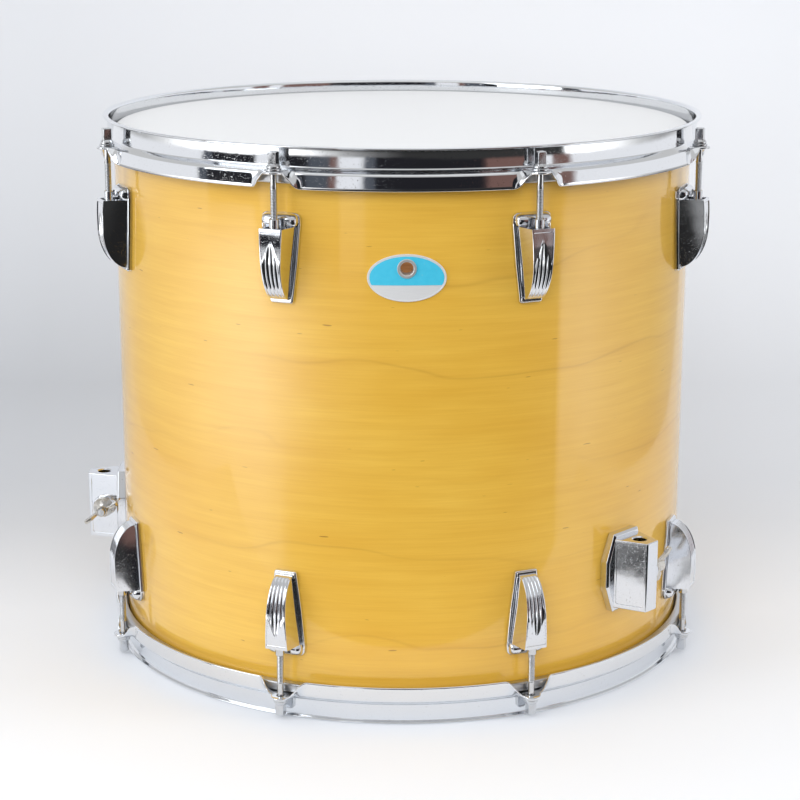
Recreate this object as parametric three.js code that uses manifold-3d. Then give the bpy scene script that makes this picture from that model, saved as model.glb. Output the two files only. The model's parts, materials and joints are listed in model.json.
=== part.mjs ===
// A floor tom: an 18 by 16 inch wooden drum shell with a tensioned head and a triple-flanged hoop at each end.
// Millimetres, +Z up. The origin is the centre of the resonant (lower) head's outer face, and -Y is the badge side.
// An azimuth is measured from the badge side towards +X, in degrees.
import * as THREE from "three";
import { mergeVertices } from "three/addons/utils/BufferGeometryUtils.js";
import Module from "manifold-3d";

const wasm = await Module();
wasm.setup();

// ---- driving dimensions ----

const SHELL_RADIUS = 228.6; // an 18 inch shell
const SHELL_DEPTH = 406.4; // 16 inches
const SHELL_WALL = 6.6; // six plies
const RIM_RISE = 9.65; // how far a hoop's rim stands past the shell's edge
const SEGMENTS = 64; // facets round everything that follows the shell
const FIT_GAP = 0.3; // clearance between pieces that touch on the real drum

const FILM = 0.4; // head film, thicker than life so that it stays a solid
const FLESH_HOOP_HEIGHT = 9.5;

const HOOP_SHEET = 1.8;
const HOOP_HEIGHT = 27.8;
const HOOP_FLANGE_RADIUS = 236.3; // outer edge of the rolled rim
const HOOP_WALL_RADIUS = 233.3;
const HOOP_SKIRT_RADIUS = 239.2;

const TENSION_POINTS = 8;
const ROD_CIRCLE = 242.3; // radius of the circle of tension rods
const ROD_RADIUS = 2.6;
const ROD_HEAD_DROP = 3.4; // rod head's top below the rim
const ROD_END_DROP = 74;
const EAR_DROP = 17; // top face of a hoop's ear below the rim
const EAR_SHEET = 2.3;
const EAR_TIP = 7; // radius of an ear round its rod

const LUG_DROP = 47.5; // lug's rod end below the rim
const LUG_LENGTH = 65;
const LUG_LIP = 9.5; // from the base's rod end to the casing's mouth
const LUG_FRONT = 250; // how far the casing reaches from the drum's axis
const LUG_SCREWS = [10.5, 53]; // screw holes, measured from the rod end
const SCREW_HOLE = 2.5;

const BRACKETS = { // centre of each leg bracket: degrees round the drum, and height above the lower rim
  right: { azimuth: 45.8, height: 95.4 },
  left: { azimuth: -90, height: 99.4 },
  rear: { azimuth: 180, height: 95.4 },
};
const BRACKET_FLANGE = 235.2; // front face of the flange, from the drum's axis
const BRACKET_FRONT = 259.7;
const BRACKET_ROOT = 14.6; // half the body's width at the flange
const BRACKET_NOSE = 6.5; // half the body's width at its front
const BRACKET_BOSS = 13.4; // from the bracket's middle to the face that the wing nut bears on
const BOSS_RADIUS = 8.6;
const BRACKET_WALL = 1.8;
const BRACKET_END_WALL = 4.9;
const BRACKET_SCREWS = [26.3, -26.3]; // above and below the bracket's centre
const BODY_HEIGHT = 54.4;
const LEG_CIRCLE = 247; // radius of the circle of leg sockets
const LEG_BORE = 5.2; // radius, for a leg of 9.5 mm diameter

const EYE_RADIUS = 6.9;
const EYE_BORE = 5.3;
const EYE_HEIGHT = 9;
const BOLT_RADIUS = 3;
const BOLT_LENGTH = 30.5; // from the leg's axis to the bolt's end
const NUT_LENGTH = 14;
const WING_SHEET = 2.4;
const WING_TURN = { right: 21, left: -58, rear: 40 }; // angle of each wing nut at rest, degrees from upright

const BADGE_HEIGHT = 334; // badge centre above the lower rim
const BADGE_WIDTH = 56;
const BADGE_TALL = 34;
const BADGE_SHEET = 1;
const VENT_HEIGHT = 340.8;
const VENT_FLANGE = 6.9; // radii of the vent's grommet
const VENT_BARREL = 5.6;
const VENT_HOLE = 4.7;

// ---- derived dimensions ----

const RIM_HEIGHT = SHELL_DEPTH / 2 + RIM_RISE; // rim above the drum's middle
const EDGE_HEIGHT = SHELL_DEPTH / 2;
const HEAD_DROP = RIM_RISE - FIT_GAP - FILM; // a head's outer face below its rim
const MIDDLE = RIM_HEIGHT - HEAD_DROP; // the drum's middle above the origin
const SHELL_INSIDE = SHELL_RADIUS - SHELL_WALL;
const SEAT_RADIUS = SHELL_RADIUS + FIT_GAP; // back face of everything screwed to the shell
const LUG_BASE = SEAT_RADIUS + 3;
const TENSION_AZIMUTHS = Array.from({ length: TENSION_POINTS }, (_, i) => (360 / TENSION_POINTS) * (i + 0.5));
const below = (drop) => RIM_HEIGHT - drop;
const fromMiddle = (heightAboveLowerRim) => heightAboveLowerRim - RIM_HEIGHT;

// ---- finishes ----

const finish = (color, roughness, metalness) => () => new THREE.MeshStandardMaterial({ color, roughness, metalness });
const lacqueredMaple = finish(0xdfb04e, 0.2, 0);
const chrome = finish(0xd8dadc, 0.12, 1);
const zincPlate = finish(0xb9b6ae, 0.35, 1);
const coatedFilm = finish(0xeceeef, 0.6, 0);
const clearFilm = finish(0xdfe3e4, 0.25, 0);
const aluminium = finish(0xc9cbcd, 0.35, 1);
const enamel = finish(0x2f9fb8, 0.3, 0.2);
const nickel = finish(0xa99f8d, 0.35, 1);

// ---- geometry helpers ----

const rad = THREE.MathUtils.degToRad;
const point = (x, y) => new THREE.Vector2(x, y);

// A closed geometry as a manifold solid.
function solid(geometry) {
  const bare = geometry.clone();
  bare.deleteAttribute("normal");
  bare.deleteAttribute("uv");
  const merged = mergeVertices(bare, 1e-4);
  return new wasm.Manifold(
    new wasm.Mesh({
      numProp: 3,
      vertProperties: merged.attributes.position.array,
      triVerts: new Uint32Array(merged.index.array),
    }),
  );
}

// A manifold solid as a geometry.
function geometryOf(shape) {
  const { vertProperties, triVerts } = shape.getMesh();
  const geometry = new THREE.BufferGeometry();
  geometry.setAttribute("position", new THREE.BufferAttribute(new Float32Array(vertProperties), 3));
  geometry.setIndex(new THREE.BufferAttribute(triVerts, 1));
  geometry.computeVertexNormals();
  return geometry;
}

// A solid of revolution about Z. The profile is [radius, height] pairs that start and end on the axis.
function turned(profile, segments = SEGMENTS) {
  const outline = profile.map(([r, z]) => point(r, z));
  if (THREE.ShapeUtils.isClockWise(outline)) outline.reverse();
  return new THREE.LatheGeometry(outline, segments).rotateX(Math.PI / 2);
}

// A ring about Z, whose section is a loop of [radius, height] pairs clear of the axis.
function ring(section, segments = SEGMENTS) {
  const outline = section.map(([r, z]) => point(r, z));
  if (THREE.ShapeUtils.isClockWise(outline)) outline.reverse();
  return new THREE.LatheGeometry([...outline, outline[0].clone()], segments).rotateX(Math.PI / 2);
}

// A prism on an outline in the XY plane, from one Z to another.
function prism(outline, from, to, curveSegments = 6) {
  const shape = outline instanceof THREE.Shape ? outline : new THREE.Shape(outline.map(([x, y]) => point(x, y)));
  const options = { depth: to - from, bevelEnabled: false, curveSegments };
  return new THREE.ExtrudeGeometry(shape, options).translate(0, 0, from);
}

// A prism whose outline is [out, up] pairs, centred across X: a side profile.
const sideProfile = (outline, width) => prism(outline, -width / 2, width / 2).rotateY(-Math.PI / 2);

// A prism whose outline is [across, out] pairs, centred on Y = 0: a plan.
const planProfile = (outline, height) => prism(outline, -height / 2, height / 2).rotateX(Math.PI / 2);

// A round bar along X, Y or Z between two places on that axis.
function bar(axis, radius, from, to, segments = 12) {
  const cylinder = new THREE.CylinderGeometry(radius, radius, to - from, segments).translate(0, (from + to) / 2, 0);
  if (axis === "x") return cylinder.rotateZ(-Math.PI / 2);
  if (axis === "z") return cylinder.rotateX(Math.PI / 2);
  return cylinder;
}

// Turns wall coordinates (X along the shell, Y up, Z out from the drum's axis) into drum coordinates.
function wallMatrix(azimuth, height) {
  const turn = new THREE.Matrix4().makeRotationZ(rad(azimuth));
  const lift = new THREE.Matrix4().makeTranslation(0, 0, height);
  return lift.multiply(turn).multiply(new THREE.Matrix4().makeRotationX(Math.PI / 2));
}

// A group in wall coordinates at an azimuth and a height.
function wallGroup(parent, azimuth, height) {
  const group = new THREE.Group();
  group.applyMatrix4(wallMatrix(azimuth, height));
  parent.add(group);
  return group;
}

function addMesh(parent, name, geometry, material) {
  const mesh = new THREE.Mesh(geometry, material());
  mesh.name = name;
  parent.add(mesh);
  return mesh;
}

// The cylinder of the shell's outer face with the fitting gap, in wall coordinates, to cut the back of a fitting.
const seatCutter = (azimuth) => {
  const drum = turned([[0, -90], [SEAT_RADIUS, -90], [SEAT_RADIUS, 90], [0, 90]]);
  return solid(drum.applyMatrix4(wallMatrix(azimuth, 0).invert()));
};

// ---- shell ----

function shellGeometry() {
  const bevel = SHELL_WALL / 2;
  const peak = SHELL_RADIUS - bevel;
  const edge = EDGE_HEIGHT;
  let body = solid(ring([
    [SHELL_RADIUS, edge - bevel],
    [peak, edge],
    [SHELL_INSIDE, edge - bevel],
    [SHELL_INSIDE, bevel - edge],
    [peak, -edge],
    [SHELL_RADIUS, bevel - edge],
  ]));
  const drill = (azimuth, height, radius, segments) => {
    const tool = bar("z", radius, SHELL_INSIDE - 8, SHELL_RADIUS + 8, segments);
    body = body.subtract(solid(tool.applyMatrix4(wallMatrix(azimuth, height))));
  };
  for (const azimuth of TENSION_AZIMUTHS)
    for (const along of LUG_SCREWS)
      for (const end of [1, -1]) drill(azimuth, end * below(LUG_DROP + along), SCREW_HOLE, 6);
  for (const { azimuth, height } of Object.values(BRACKETS))
    for (const offset of BRACKET_SCREWS) drill(azimuth, fromMiddle(height) + offset, SCREW_HOLE, 6);
  drill(0, fromMiddle(VENT_HEIGHT), VENT_BARREL + FIT_GAP, 12);
  return geometryOf(body);
}

// ---- head: film over the bearing edge, and the flesh hoop that grips it ----

function headGeometry() {
  const bevel = SHELL_WALL / 2;
  const underside = EDGE_HEIGHT + FIT_GAP;
  const bend = SHELL_RADIUS - bevel + 0.1;
  const foot = below(20);
  return turned([
    [0, underside],
    [bend, underside],
    [SHELL_RADIUS + 0.4, underside - bevel],
    [SHELL_RADIUS + 0.7, foot],
    [SHELL_RADIUS + 1.15, foot],
    [SHELL_RADIUS + 0.85, underside - bevel + FILM / 2],
    [bend + 0.2, underside + FILM],
    [0, underside + FILM],
  ]);
}

function fleshHoopGeometry() {
  const top = below(EAR_DROP);
  const foot = below(EAR_DROP + FLESH_HOOP_HEIGHT);
  const inside = SHELL_RADIUS + 1.5;
  const outside = HOOP_SKIRT_RADIUS - HOOP_SHEET - 0.8;
  return ring([
    [inside, foot],
    [outside, foot],
    [outside, top - 3.2],
    [outside - 4, top],
    [inside, top],
  ]);
}

// ---- hoop: rolled rim, wall, shoulder over the flesh hoop and a skirt that is bent out into an ear at each rod ----

function hoopGeometry() {
  const wallFoot = below(14.5);
  const shoulderFoot = below(18.6);
  const skirtInside = HOOP_SKIRT_RADIUS - HOOP_SHEET;
  let hoop = solid(ring([
    [HOOP_FLANGE_RADIUS - 0.5, below(0)],
    [HOOP_FLANGE_RADIUS, below(2.3)],
    [HOOP_WALL_RADIUS, below(3.4)],
    [HOOP_WALL_RADIUS, wallFoot],
    [HOOP_SKIRT_RADIUS - 0.6, shoulderFoot],
    [HOOP_SKIRT_RADIUS, below(HOOP_HEIGHT)],
    [skirtInside, below(HOOP_HEIGHT)],
    [skirtInside - 0.4, shoulderFoot - 1.3],
    [HOOP_WALL_RADIUS - HOOP_SHEET, wallFoot - 1.2],
    [HOOP_WALL_RADIUS - HOOP_SHEET, below(0)],
  ]));
  for (const azimuth of TENSION_AZIMUTHS) {
    const scoop = prism(scoopOutline(), HOOP_WALL_RADIUS - 4, HOOP_SKIRT_RADIUS + 6);
    hoop = hoop.subtract(solid(scoop.applyMatrix4(wallMatrix(azimuth, 0))));
    const turn = new THREE.Matrix4().makeRotationZ(rad(azimuth));
    const earFoot = below(EAR_DROP + EAR_SHEET);
    const ear = solid(prism(earPlan(), earFoot, below(EAR_DROP), 4).applyMatrix4(turn));
    const hole = bar("z", ROD_RADIUS + 0.7, earFoot - 2, below(EAR_DROP) + 2, 8).translate(0, -ROD_CIRCLE, 0);
    hoop = hoop.add(ear).subtract(solid(hole.applyMatrix4(turn)));
  }
  return geometryOf(hoop);
}

// What is missing from the skirt under an ear, seen from outside.
function scoopOutline() {
  const top = below(EAR_DROP + EAR_SHEET + 0.1);
  const foot = below(HOOP_HEIGHT + 1);
  return [[-20, foot], [20, foot], [14, foot + 3.4], [10.5, top - 1.6], [8.5, top], [-8.5, top], [-10.5, top - 1.6], [-14, foot + 3.4]];
}

// An ear seen from above, in the drum's own XY plane at azimuth 0.
function earPlan() {
  const root = -(HOOP_SKIRT_RADIUS - 3);
  const plan = new THREE.Shape();
  plan.moveTo(11, root);
  plan.lineTo(-11, root);
  plan.lineTo(-EAR_TIP - 1, -HOOP_SKIRT_RADIUS - 0.8);
  plan.absarc(0, -ROD_CIRCLE, EAR_TIP, Math.PI, 2 * Math.PI, false);
  plan.lineTo(EAR_TIP + 1, -HOOP_SKIRT_RADIUS - 0.8);
  plan.closePath();
  return plan;
}

// ---- tension rod: square head, collar, plain shank and threaded end ----

function rodGeometry() {
  const headSide = 6.35;
  const headTop = below(ROD_HEAD_DROP);
  const headFoot = headTop - 8.6;
  const collarFoot = headFoot - 3.1;
  const end = below(ROD_END_DROP);
  const shank = solid(turned([
    [0, end],
    [ROD_RADIUS - 0.8, end],
    [ROD_RADIUS, end + 0.8],
    [ROD_RADIUS, collarFoot],
    [5, collarFoot],
    [5, collarFoot + 1.6],
    [3.4, headFoot],
    [0, headFoot],
  ], 8));
  const head = new THREE.BoxGeometry(headSide, headSide, headTop - headFoot + 0.6);
  head.translate(0, 0, (headTop + headFoot - 0.6) / 2);
  return geometryOf(shank.add(solid(head)));
}

// ---- lug: keystone base with a rolled shoulder, and a hollow fin-shaped casing open towards the rod ----

function lugGeometry(azimuth) {
  const base = LUG_BASE;
  const back = SHELL_RADIUS - 4;
  const plate = sideProfile([
    [back, 0],
    [base, 0],
    [base + 2, -1.2],
    [base + 3.1, -4],
    [base + 3.1, -LUG_LIP],
    [base, -LUG_LIP],
    [base, -LUG_LENGTH],
    [back, -LUG_LENGTH],
  ], 40);
  const keystone = prism([
    [-15, -3], [-13.5, 0], [13.5, 0], [15, -3], [14.4, -12], [9.6, -LUG_LENGTH + 3],
    [8, -LUG_LENGTH], [-8, -LUG_LENGTH], [-9.6, -LUG_LENGTH + 3], [-14.4, -12],
  ], back, LUG_FRONT);
  const casing = sideProfile(casingProfile(LUG_FRONT, base - 1), 30);
  const taper = prism([[-8.8, -LUG_LIP + 1], [8.8, -LUG_LIP + 1], [6.5, -LUG_LENGTH], [-6.5, -LUG_LENGTH]], back, LUG_FRONT + 4);
  const pocket = sideProfile([
    [base + 4, -LUG_LIP + 5],
    [LUG_FRONT - 2.6, -LUG_LIP + 5],
    [LUG_FRONT - 2.6, -24],
    [LUG_FRONT - 6, -40],
    [base + 6, -50],
    [base + 4, -50],
  ], 10.8);
  const bases = solid(plate).intersect(solid(keystone));
  const fins = solid(casing).intersect(solid(taper)).subtract(solid(pocket));
  return geometryOf(bases.add(fins).subtract(seatCutter(azimuth)));
}

// The fin's side profile: full reach near the mouth, then a quarter ellipse down to the base.
function casingProfile(front, back) {
  const mouth = -LUG_LIP;
  const far = -LUG_LENGTH + 2.5;
  const bend = mouth + (far - mouth) * 0.42;
  const outline = [[back, far], [back, mouth], [front - 0.9, mouth], [front, (mouth + bend) / 2]];
  for (let step = 0; step <= 6; step++) {
    const angle = (Math.PI / 2) * (step / 6);
    outline.push([LUG_BASE + (front - LUG_BASE) * Math.cos(angle), bend + (far - bend) * Math.sin(angle)]);
  }
  return outline;
}

// ---- leg bracket: octagonal flange, hollow body, leg socket through it, eyebolt inside and wing nut outside ----

function bracketGeometry(azimuth) {
  const back = SHELL_RADIUS - 4;
  const flange = solid(prism([
    [-22.5, -10], [-13.5, -31], [13.5, -31], [22.5, -10], [22.5, 10], [13.5, 31], [-13.5, 31], [-22.5, 10],
  ], back, BRACKET_FLANGE));
  const body = solid(planProfile(bodyPlan(0, back), BODY_HEIGHT));
  const boss = solid(bar("x", BOSS_RADIUS, 0, BRACKET_BOSS, 16).translate(0, 0, LEG_CIRCLE));
  const hollow = solid(planProfile(bodyPlan(BRACKET_WALL, back - 4), BODY_HEIGHT - 2 * BRACKET_END_WALL));
  const socket = solid(bar("y", LEG_BORE, -BODY_HEIGHT, BODY_HEIGHT, 16).translate(0, 0, LEG_CIRCLE));
  const boltHole = solid(bar("x", BOLT_RADIUS + 0.5, 0, BRACKET_BOSS + 5).translate(0, 0, LEG_CIRCLE));
  let bracket = flange.add(body).add(boss).subtract(hollow).subtract(socket).subtract(boltHole);
  for (const height of BRACKET_SCREWS)
    bracket = bracket.subtract(solid(bar("z", SCREW_HOLE, back - 2, BRACKET_FLANGE - 1.4, 8).translate(0, height, 0)));
  return geometryOf(bracket.subtract(seatCutter(azimuth)));
}

// The body seen from above as [across, out] pairs, drawn in by an inset.
function bodyPlan(inset, back) {
  const root = BRACKET_ROOT - inset;
  const nose = BRACKET_NOSE - inset * 0.7;
  const front = BRACKET_FRONT - inset;
  return [[-root, back], [root, back], [root, BRACKET_FLANGE], [nose, front], [-nose, front], [-root, BRACKET_FLANGE]];
}

function eyeboltGeometry() {
  const eye = solid(bar("y", EYE_RADIUS, -EYE_HEIGHT / 2, EYE_HEIGHT / 2, 16));
  const shank = solid(bar("x", BOLT_RADIUS, EYE_RADIUS - 1.2, BOLT_LENGTH));
  const bore = solid(bar("y", EYE_BORE, -EYE_HEIGHT, EYE_HEIGHT, 16));
  return geometryOf(eye.add(shank).subtract(bore));
}

// The nut turns on X: a collar against the casting, a tapered hub, and two wings that lean out past the flange.
function wingNutGeometry() {
  const start = BRACKET_BOSS + FIT_GAP;
  const bore = BOLT_RADIUS + FIT_GAP;
  const hub = ring([
    [bore, start],
    [8.2, start],
    [8.2, start + 2.6],
    [6.6, start + 5.2],
    [4.8, start + NUT_LENGTH],
    [bore, start + NUT_LENGTH],
  ], 16).rotateY(Math.PI / 2);
  const wings = [0, Math.PI].map((turn) => {
    const outline = [
      [start + 5.5, 4.2], [start + 12.6, 11.6], [start + 15, 15.4], [start + 17.4, 16.4],
      [start + 19.6, 15.2], [start + 18.6, 9.5], [start + 13, 4.2],
    ];
    return solid(prism(outline, -WING_SHEET / 2, WING_SHEET / 2).rotateX(turn));
  });
  return geometryOf(wings.reduce((nut, wing) => nut.add(wing), solid(hub)));
}

function bracketScrewGeometry() {
  const headFace = SHELL_INSIDE - 1;
  return turned([
    [0, headFace - 3],
    [3.2, headFace - 3],
    [4.6, headFace - 1.6],
    [4.6, headFace],
    [2.1, headFace],
    [2.1, BRACKET_FLANGE - 2.2],
    [0, BRACKET_FLANGE - 2.2],
  ], 8);
}

// ---- badge and the vent grommet that holds it ----

function badgeGeometry() {
  const oval = new THREE.Shape().absellipse(0, 0, BADGE_WIDTH / 2, BADGE_TALL / 2, 0, 2 * Math.PI);
  const plate = solid(prism(oval, SHELL_RADIUS - 6, SHELL_RADIUS + 6, 16));
  const across = (radius) => {
    const drum = turned([[0, -40], [radius, -40], [radius, 40], [0, 40]]);
    return solid(drum.applyMatrix4(wallMatrix(0, 0).invert()));
  };
  const hole = bar("z", VENT_BARREL + FIT_GAP, SHELL_RADIUS - 8, SHELL_RADIUS + 8);
  const curved = plate.intersect(across(SEAT_RADIUS + BADGE_SHEET)).subtract(across(SEAT_RADIUS));
  return geometryOf(curved.subtract(solid(hole.translate(0, VENT_HEIGHT - BADGE_HEIGHT, 0))));
}

function grommetGeometry() {
  const outerSeat = SEAT_RADIUS + BADGE_SHEET + FIT_GAP;
  const innerSeat = SHELL_INSIDE - 1.2;
  return ring([
    [VENT_HOLE, innerSeat - 1],
    [VENT_FLANGE, innerSeat - 1],
    [VENT_FLANGE, innerSeat],
    [VENT_BARREL, innerSeat],
    [VENT_BARREL, outerSeat],
    [VENT_FLANGE, outerSeat],
    [VENT_FLANGE - 0.5, outerSeat + 0.9],
    [VENT_HOLE + 0.5, outerSeat + 0.9],
    [VENT_HOLE, outerSeat + 0.3],
  ], 16);
}

// ---- assembly ----

// One end of the drum, drawn with its rim up. The azimuths are those of the drum, mirrored for the end that hangs down.
function buildEnd(name, mirrored, filmMaterial) {
  const end = new THREE.Group();
  addMesh(end, name + "_head", headGeometry(), filmMaterial);
  addMesh(end, name + "_flesh_hoop", fleshHoopGeometry(), aluminium);
  addMesh(end, name + "_hoop", hoopGeometry(), chrome);
  TENSION_AZIMUTHS.forEach((drumAzimuth, index) => {
    const azimuth = mirrored ? -drumAzimuth : drumAzimuth;
    const lug = wallGroup(end, azimuth, below(LUG_DROP));
    addMesh(lug, name + "_lug_" + (index + 1), lugGeometry(azimuth), chrome);
    const rod = new THREE.Group();
    rod.rotation.z = rad(azimuth);
    end.add(rod);
    addMesh(rod, name + "_tension_rod_" + (index + 1), rodGeometry(), zincPlate).position.y = -ROD_CIRCLE;
  });
  return end;
}

function buildLegBracket(parent, place, azimuth, height) {
  const group = wallGroup(parent, azimuth, fromMiddle(height));
  addMesh(group, "leg_bracket_" + place, bracketGeometry(azimuth), chrome);
  addMesh(group, "leg_eyebolt_" + place, eyeboltGeometry(), zincPlate).position.z = LEG_CIRCLE;
  const nut = addMesh(group, "leg_wing_nut_" + place, wingNutGeometry(), nickel);
  nut.position.z = LEG_CIRCLE;
  nut.rotation.x = rad(WING_TURN[place]);
  ["upper", "lower"].forEach((level, index) => {
    const name = "bracket_screw_" + place + "_" + level;
    addMesh(group, name, bracketScrewGeometry(), zincPlate).position.y = BRACKET_SCREWS[index];
  });
}

const drum = new THREE.Group();
drum.position.z = MIDDLE;
addMesh(drum, "shell", shellGeometry(), lacqueredMaple);
drum.add(buildEnd("batter", false, coatedFilm));
const lowerEnd = buildEnd("resonant", true, clearFilm);
lowerEnd.rotation.y = Math.PI;
drum.add(lowerEnd);
for (const [place, { azimuth, height }] of Object.entries(BRACKETS)) buildLegBracket(drum, place, azimuth, height);
addMesh(wallGroup(drum, 0, fromMiddle(BADGE_HEIGHT)), "badge", badgeGeometry(), enamel);
addMesh(wallGroup(drum, 0, fromMiddle(VENT_HEIGHT)), "vent_grommet", grommetGeometry(), zincPlate);

const part = new THREE.Group();
part.add(drum);

export default part;
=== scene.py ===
"""The looks of the floor tom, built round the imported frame. Lengths are in millimetres until a mesh is made."""

import json
import math

import bmesh
import bpy
import numpy as np
from mathutils import Matrix, Vector


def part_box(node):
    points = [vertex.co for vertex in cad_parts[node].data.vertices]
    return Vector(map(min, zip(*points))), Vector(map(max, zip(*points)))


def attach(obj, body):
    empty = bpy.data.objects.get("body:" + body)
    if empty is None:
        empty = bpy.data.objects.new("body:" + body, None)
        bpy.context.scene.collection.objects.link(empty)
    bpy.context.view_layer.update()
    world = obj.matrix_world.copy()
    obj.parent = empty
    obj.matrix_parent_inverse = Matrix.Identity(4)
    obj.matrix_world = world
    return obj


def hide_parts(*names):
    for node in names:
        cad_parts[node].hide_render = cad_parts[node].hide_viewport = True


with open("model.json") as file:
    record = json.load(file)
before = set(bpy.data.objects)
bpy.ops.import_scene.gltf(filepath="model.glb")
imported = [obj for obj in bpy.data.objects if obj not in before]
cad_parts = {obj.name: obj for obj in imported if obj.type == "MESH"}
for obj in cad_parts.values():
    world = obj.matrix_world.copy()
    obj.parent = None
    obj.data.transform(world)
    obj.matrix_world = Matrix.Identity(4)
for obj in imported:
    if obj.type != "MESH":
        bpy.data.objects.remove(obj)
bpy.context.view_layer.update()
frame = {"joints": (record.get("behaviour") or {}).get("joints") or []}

MM = 0.001
SHELL_BODY = "shell_assembly"


# ---- places, read from the frame ----

def box_mm(node):
    low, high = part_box(node)
    return np.array(low) / MM, np.array(high) / MM


def joint_of(child):
    return next(j for j in frame["joints"] if j["child"] == child)


def azimuth_of(point):
    """The angle round the drum from the badge side (-Y) towards +X, in radians."""
    return math.atan2(point[0], -point[1])


SHELL_R = box_mm("shell")[1][0]
EDGE_TOP = box_mm("shell")[1][2]
EDGE_FOOT = box_mm("shell")[0][2]
RIM_TOP = box_mm("batter_hoop")[1][2]
RIM_FOOT = box_mm("resonant_hoop")[0][2]
MIDDLE = (RIM_TOP + RIM_FOOT) / 2
RIM = (RIM_TOP - RIM_FOOT) / 2  # a rim's height above the drum's middle
EDGE = (EDGE_TOP - EDGE_FOOT) / 2
POINTS = range(1, 9)
ROD_PLACES = {
    (end, k): [c / MM for c in joint_of(f"{end}_tension_rod_{k}")["pos_m"]]
    for end in ("batter", "resonant") for k in POINTS
}
ROD_R = math.hypot(*ROD_PLACES["batter", 1][:2])
ROD_AZIMUTHS = [azimuth_of(ROD_PLACES["batter", k]) for k in POINTS]
BRACKETS = ("right", "left", "rear")
BRACKET_PLACES = {p: [c / MM for c in joint_of(f"leg_wing_nut_{p}")["pos_m"]] for p in BRACKETS}
LEG_R = math.hypot(*BRACKET_PLACES["right"][:2])
BADGE_Z = sum(box_mm("badge")[i][2] for i in (0, 1)) / 2
VENT_Z = sum(box_mm("vent_grommet")[i][2] for i in (0, 1)) / 2

WALL = 6.6
SHELL_IN = SHELL_R - WALL
SEAT = SHELL_R + 0.3  # back face of everything screwed to the shell


def below(drop):
    """Height above the drum's middle of a place that far below a rim."""
    return RIM - drop


# ---- matrices ----

def turn(axis, angle):
    return Matrix.Rotation(angle, 4, axis)


def end_matrix(end):
    """From an end drawn with its rim up and the drum's middle at Z = 0 to the drum."""
    flip = turn("Y", math.pi) if end == "resonant" else Matrix.Identity(4)
    return Matrix.Translation((0, 0, MIDDLE)) @ flip


def wall_matrix(azimuth, height):
    """From wall coordinates (X along the shell, Y up, Z out from the axis)."""
    return Matrix.Translation((0, 0, height)) @ turn("Z", azimuth) @ turn("X", math.pi / 2)


def end_azimuth(end, azimuth):
    return -azimuth if end == "resonant" else azimuth


# ---- outlines ----

def fillet(points, radii, steps=5, closed=True):
    """Rounds the corners of an outline; radii is one number or one for each corner."""
    count = len(points)
    radii = [radii] * count if isinstance(radii, (int, float)) else list(radii)
    out = []
    for i, radius in enumerate(radii):
        here = np.array(points[i], float)
        if radius <= 0 or (not closed and i in (0, count - 1)):
            out.append(here)
            continue
        before = np.array(points[i - 1], float) - here
        after = np.array(points[(i + 1) % count], float) - here
        a, b = before / np.linalg.norm(before), after / np.linalg.norm(after)
        half = math.acos(np.clip(a @ b, -1, 1)) / 2
        reach = min(radius / math.tan(half), 0.49 * np.linalg.norm(before), 0.49 * np.linalg.norm(after))
        true_radius = reach * math.tan(half)
        centre = here + (a + b) / np.linalg.norm(a + b) * (true_radius / math.sin(half))
        start, end = here + a * reach - centre, here + b * reach - centre
        span = math.acos(np.clip(start @ end / (true_radius ** 2), -1, 1))
        for k in range(steps + 1):
            t = k / steps
            blend = (math.sin((1 - t) * span) * start + math.sin(t * span) * end) / math.sin(span)
            out.append(centre + blend)
    return np.array(out)


def ellipse(half_width, half_height, count=64):
    a = np.linspace(0, 2 * math.pi, count, endpoint=False)
    return np.stack([half_width * np.cos(a), half_height * np.sin(a)], 1)


def smooth(t):
    t = np.clip(t, 0, 1)
    return t * t * (3 - 2 * t)


def lerp(a, b, t):
    return a + (b - a) * t


# ---- mesh making ----

def mesh_from(name, verts, faces, crease=40):
    mesh = bpy.data.meshes.new(name)
    mesh.from_pydata((np.asarray(verts, float) * MM).tolist(), [], [list(map(int, f)) for f in faces])
    mesh.update()
    shade(mesh, crease)
    return mesh


def shade(mesh, crease=40):
    mesh.polygons.foreach_set("use_smooth", [True] * len(mesh.polygons))
    mesh.set_sharp_from_angle(angle=math.radians(crease))


def grid_faces(rows, cols, wrap_rows, wrap_cols):
    i = np.arange(rows if wrap_rows else rows - 1)
    j = np.arange(cols if wrap_cols else cols - 1)
    i, j = [a.ravel() for a in np.meshgrid(i, j, indexing="ij")]
    i2, j2 = (i + 1) % rows, (j + 1) % cols
    return np.stack([i * cols + j, i * cols + j2, i2 * cols + j2, i2 * cols + j], 1)


def tidy(mesh, crease=40, distance=1e-7):
    """Joins coincident vertices, drops flat faces and points every face outwards."""
    bm = bmesh.new()
    bm.from_mesh(mesh)
    bmesh.ops.remove_doubles(bm, verts=bm.verts, dist=distance)
    bmesh.ops.dissolve_degenerate(bm, edges=bm.edges, dist=distance)
    bmesh.ops.recalc_face_normals(bm, faces=bm.faces)
    bm.to_mesh(mesh)
    bm.free()
    shade(mesh, crease)
    return mesh


def loft(name, loops, wrap=False, crease=40):
    """A closed surface through loops of equal length; the first and last are capped unless it wraps."""
    grid = np.asarray(loops, float)
    rows, cols = grid.shape[:2]
    faces = [list(f) for f in grid_faces(rows, cols, wrap, True)]
    if not wrap:
        faces.append(list(range(cols - 1, -1, -1)))
        faces.append(list(range((rows - 1) * cols, rows * cols)))
    return tidy(mesh_from(name, grid.reshape(-1, 3), faces, crease), crease)


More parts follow.
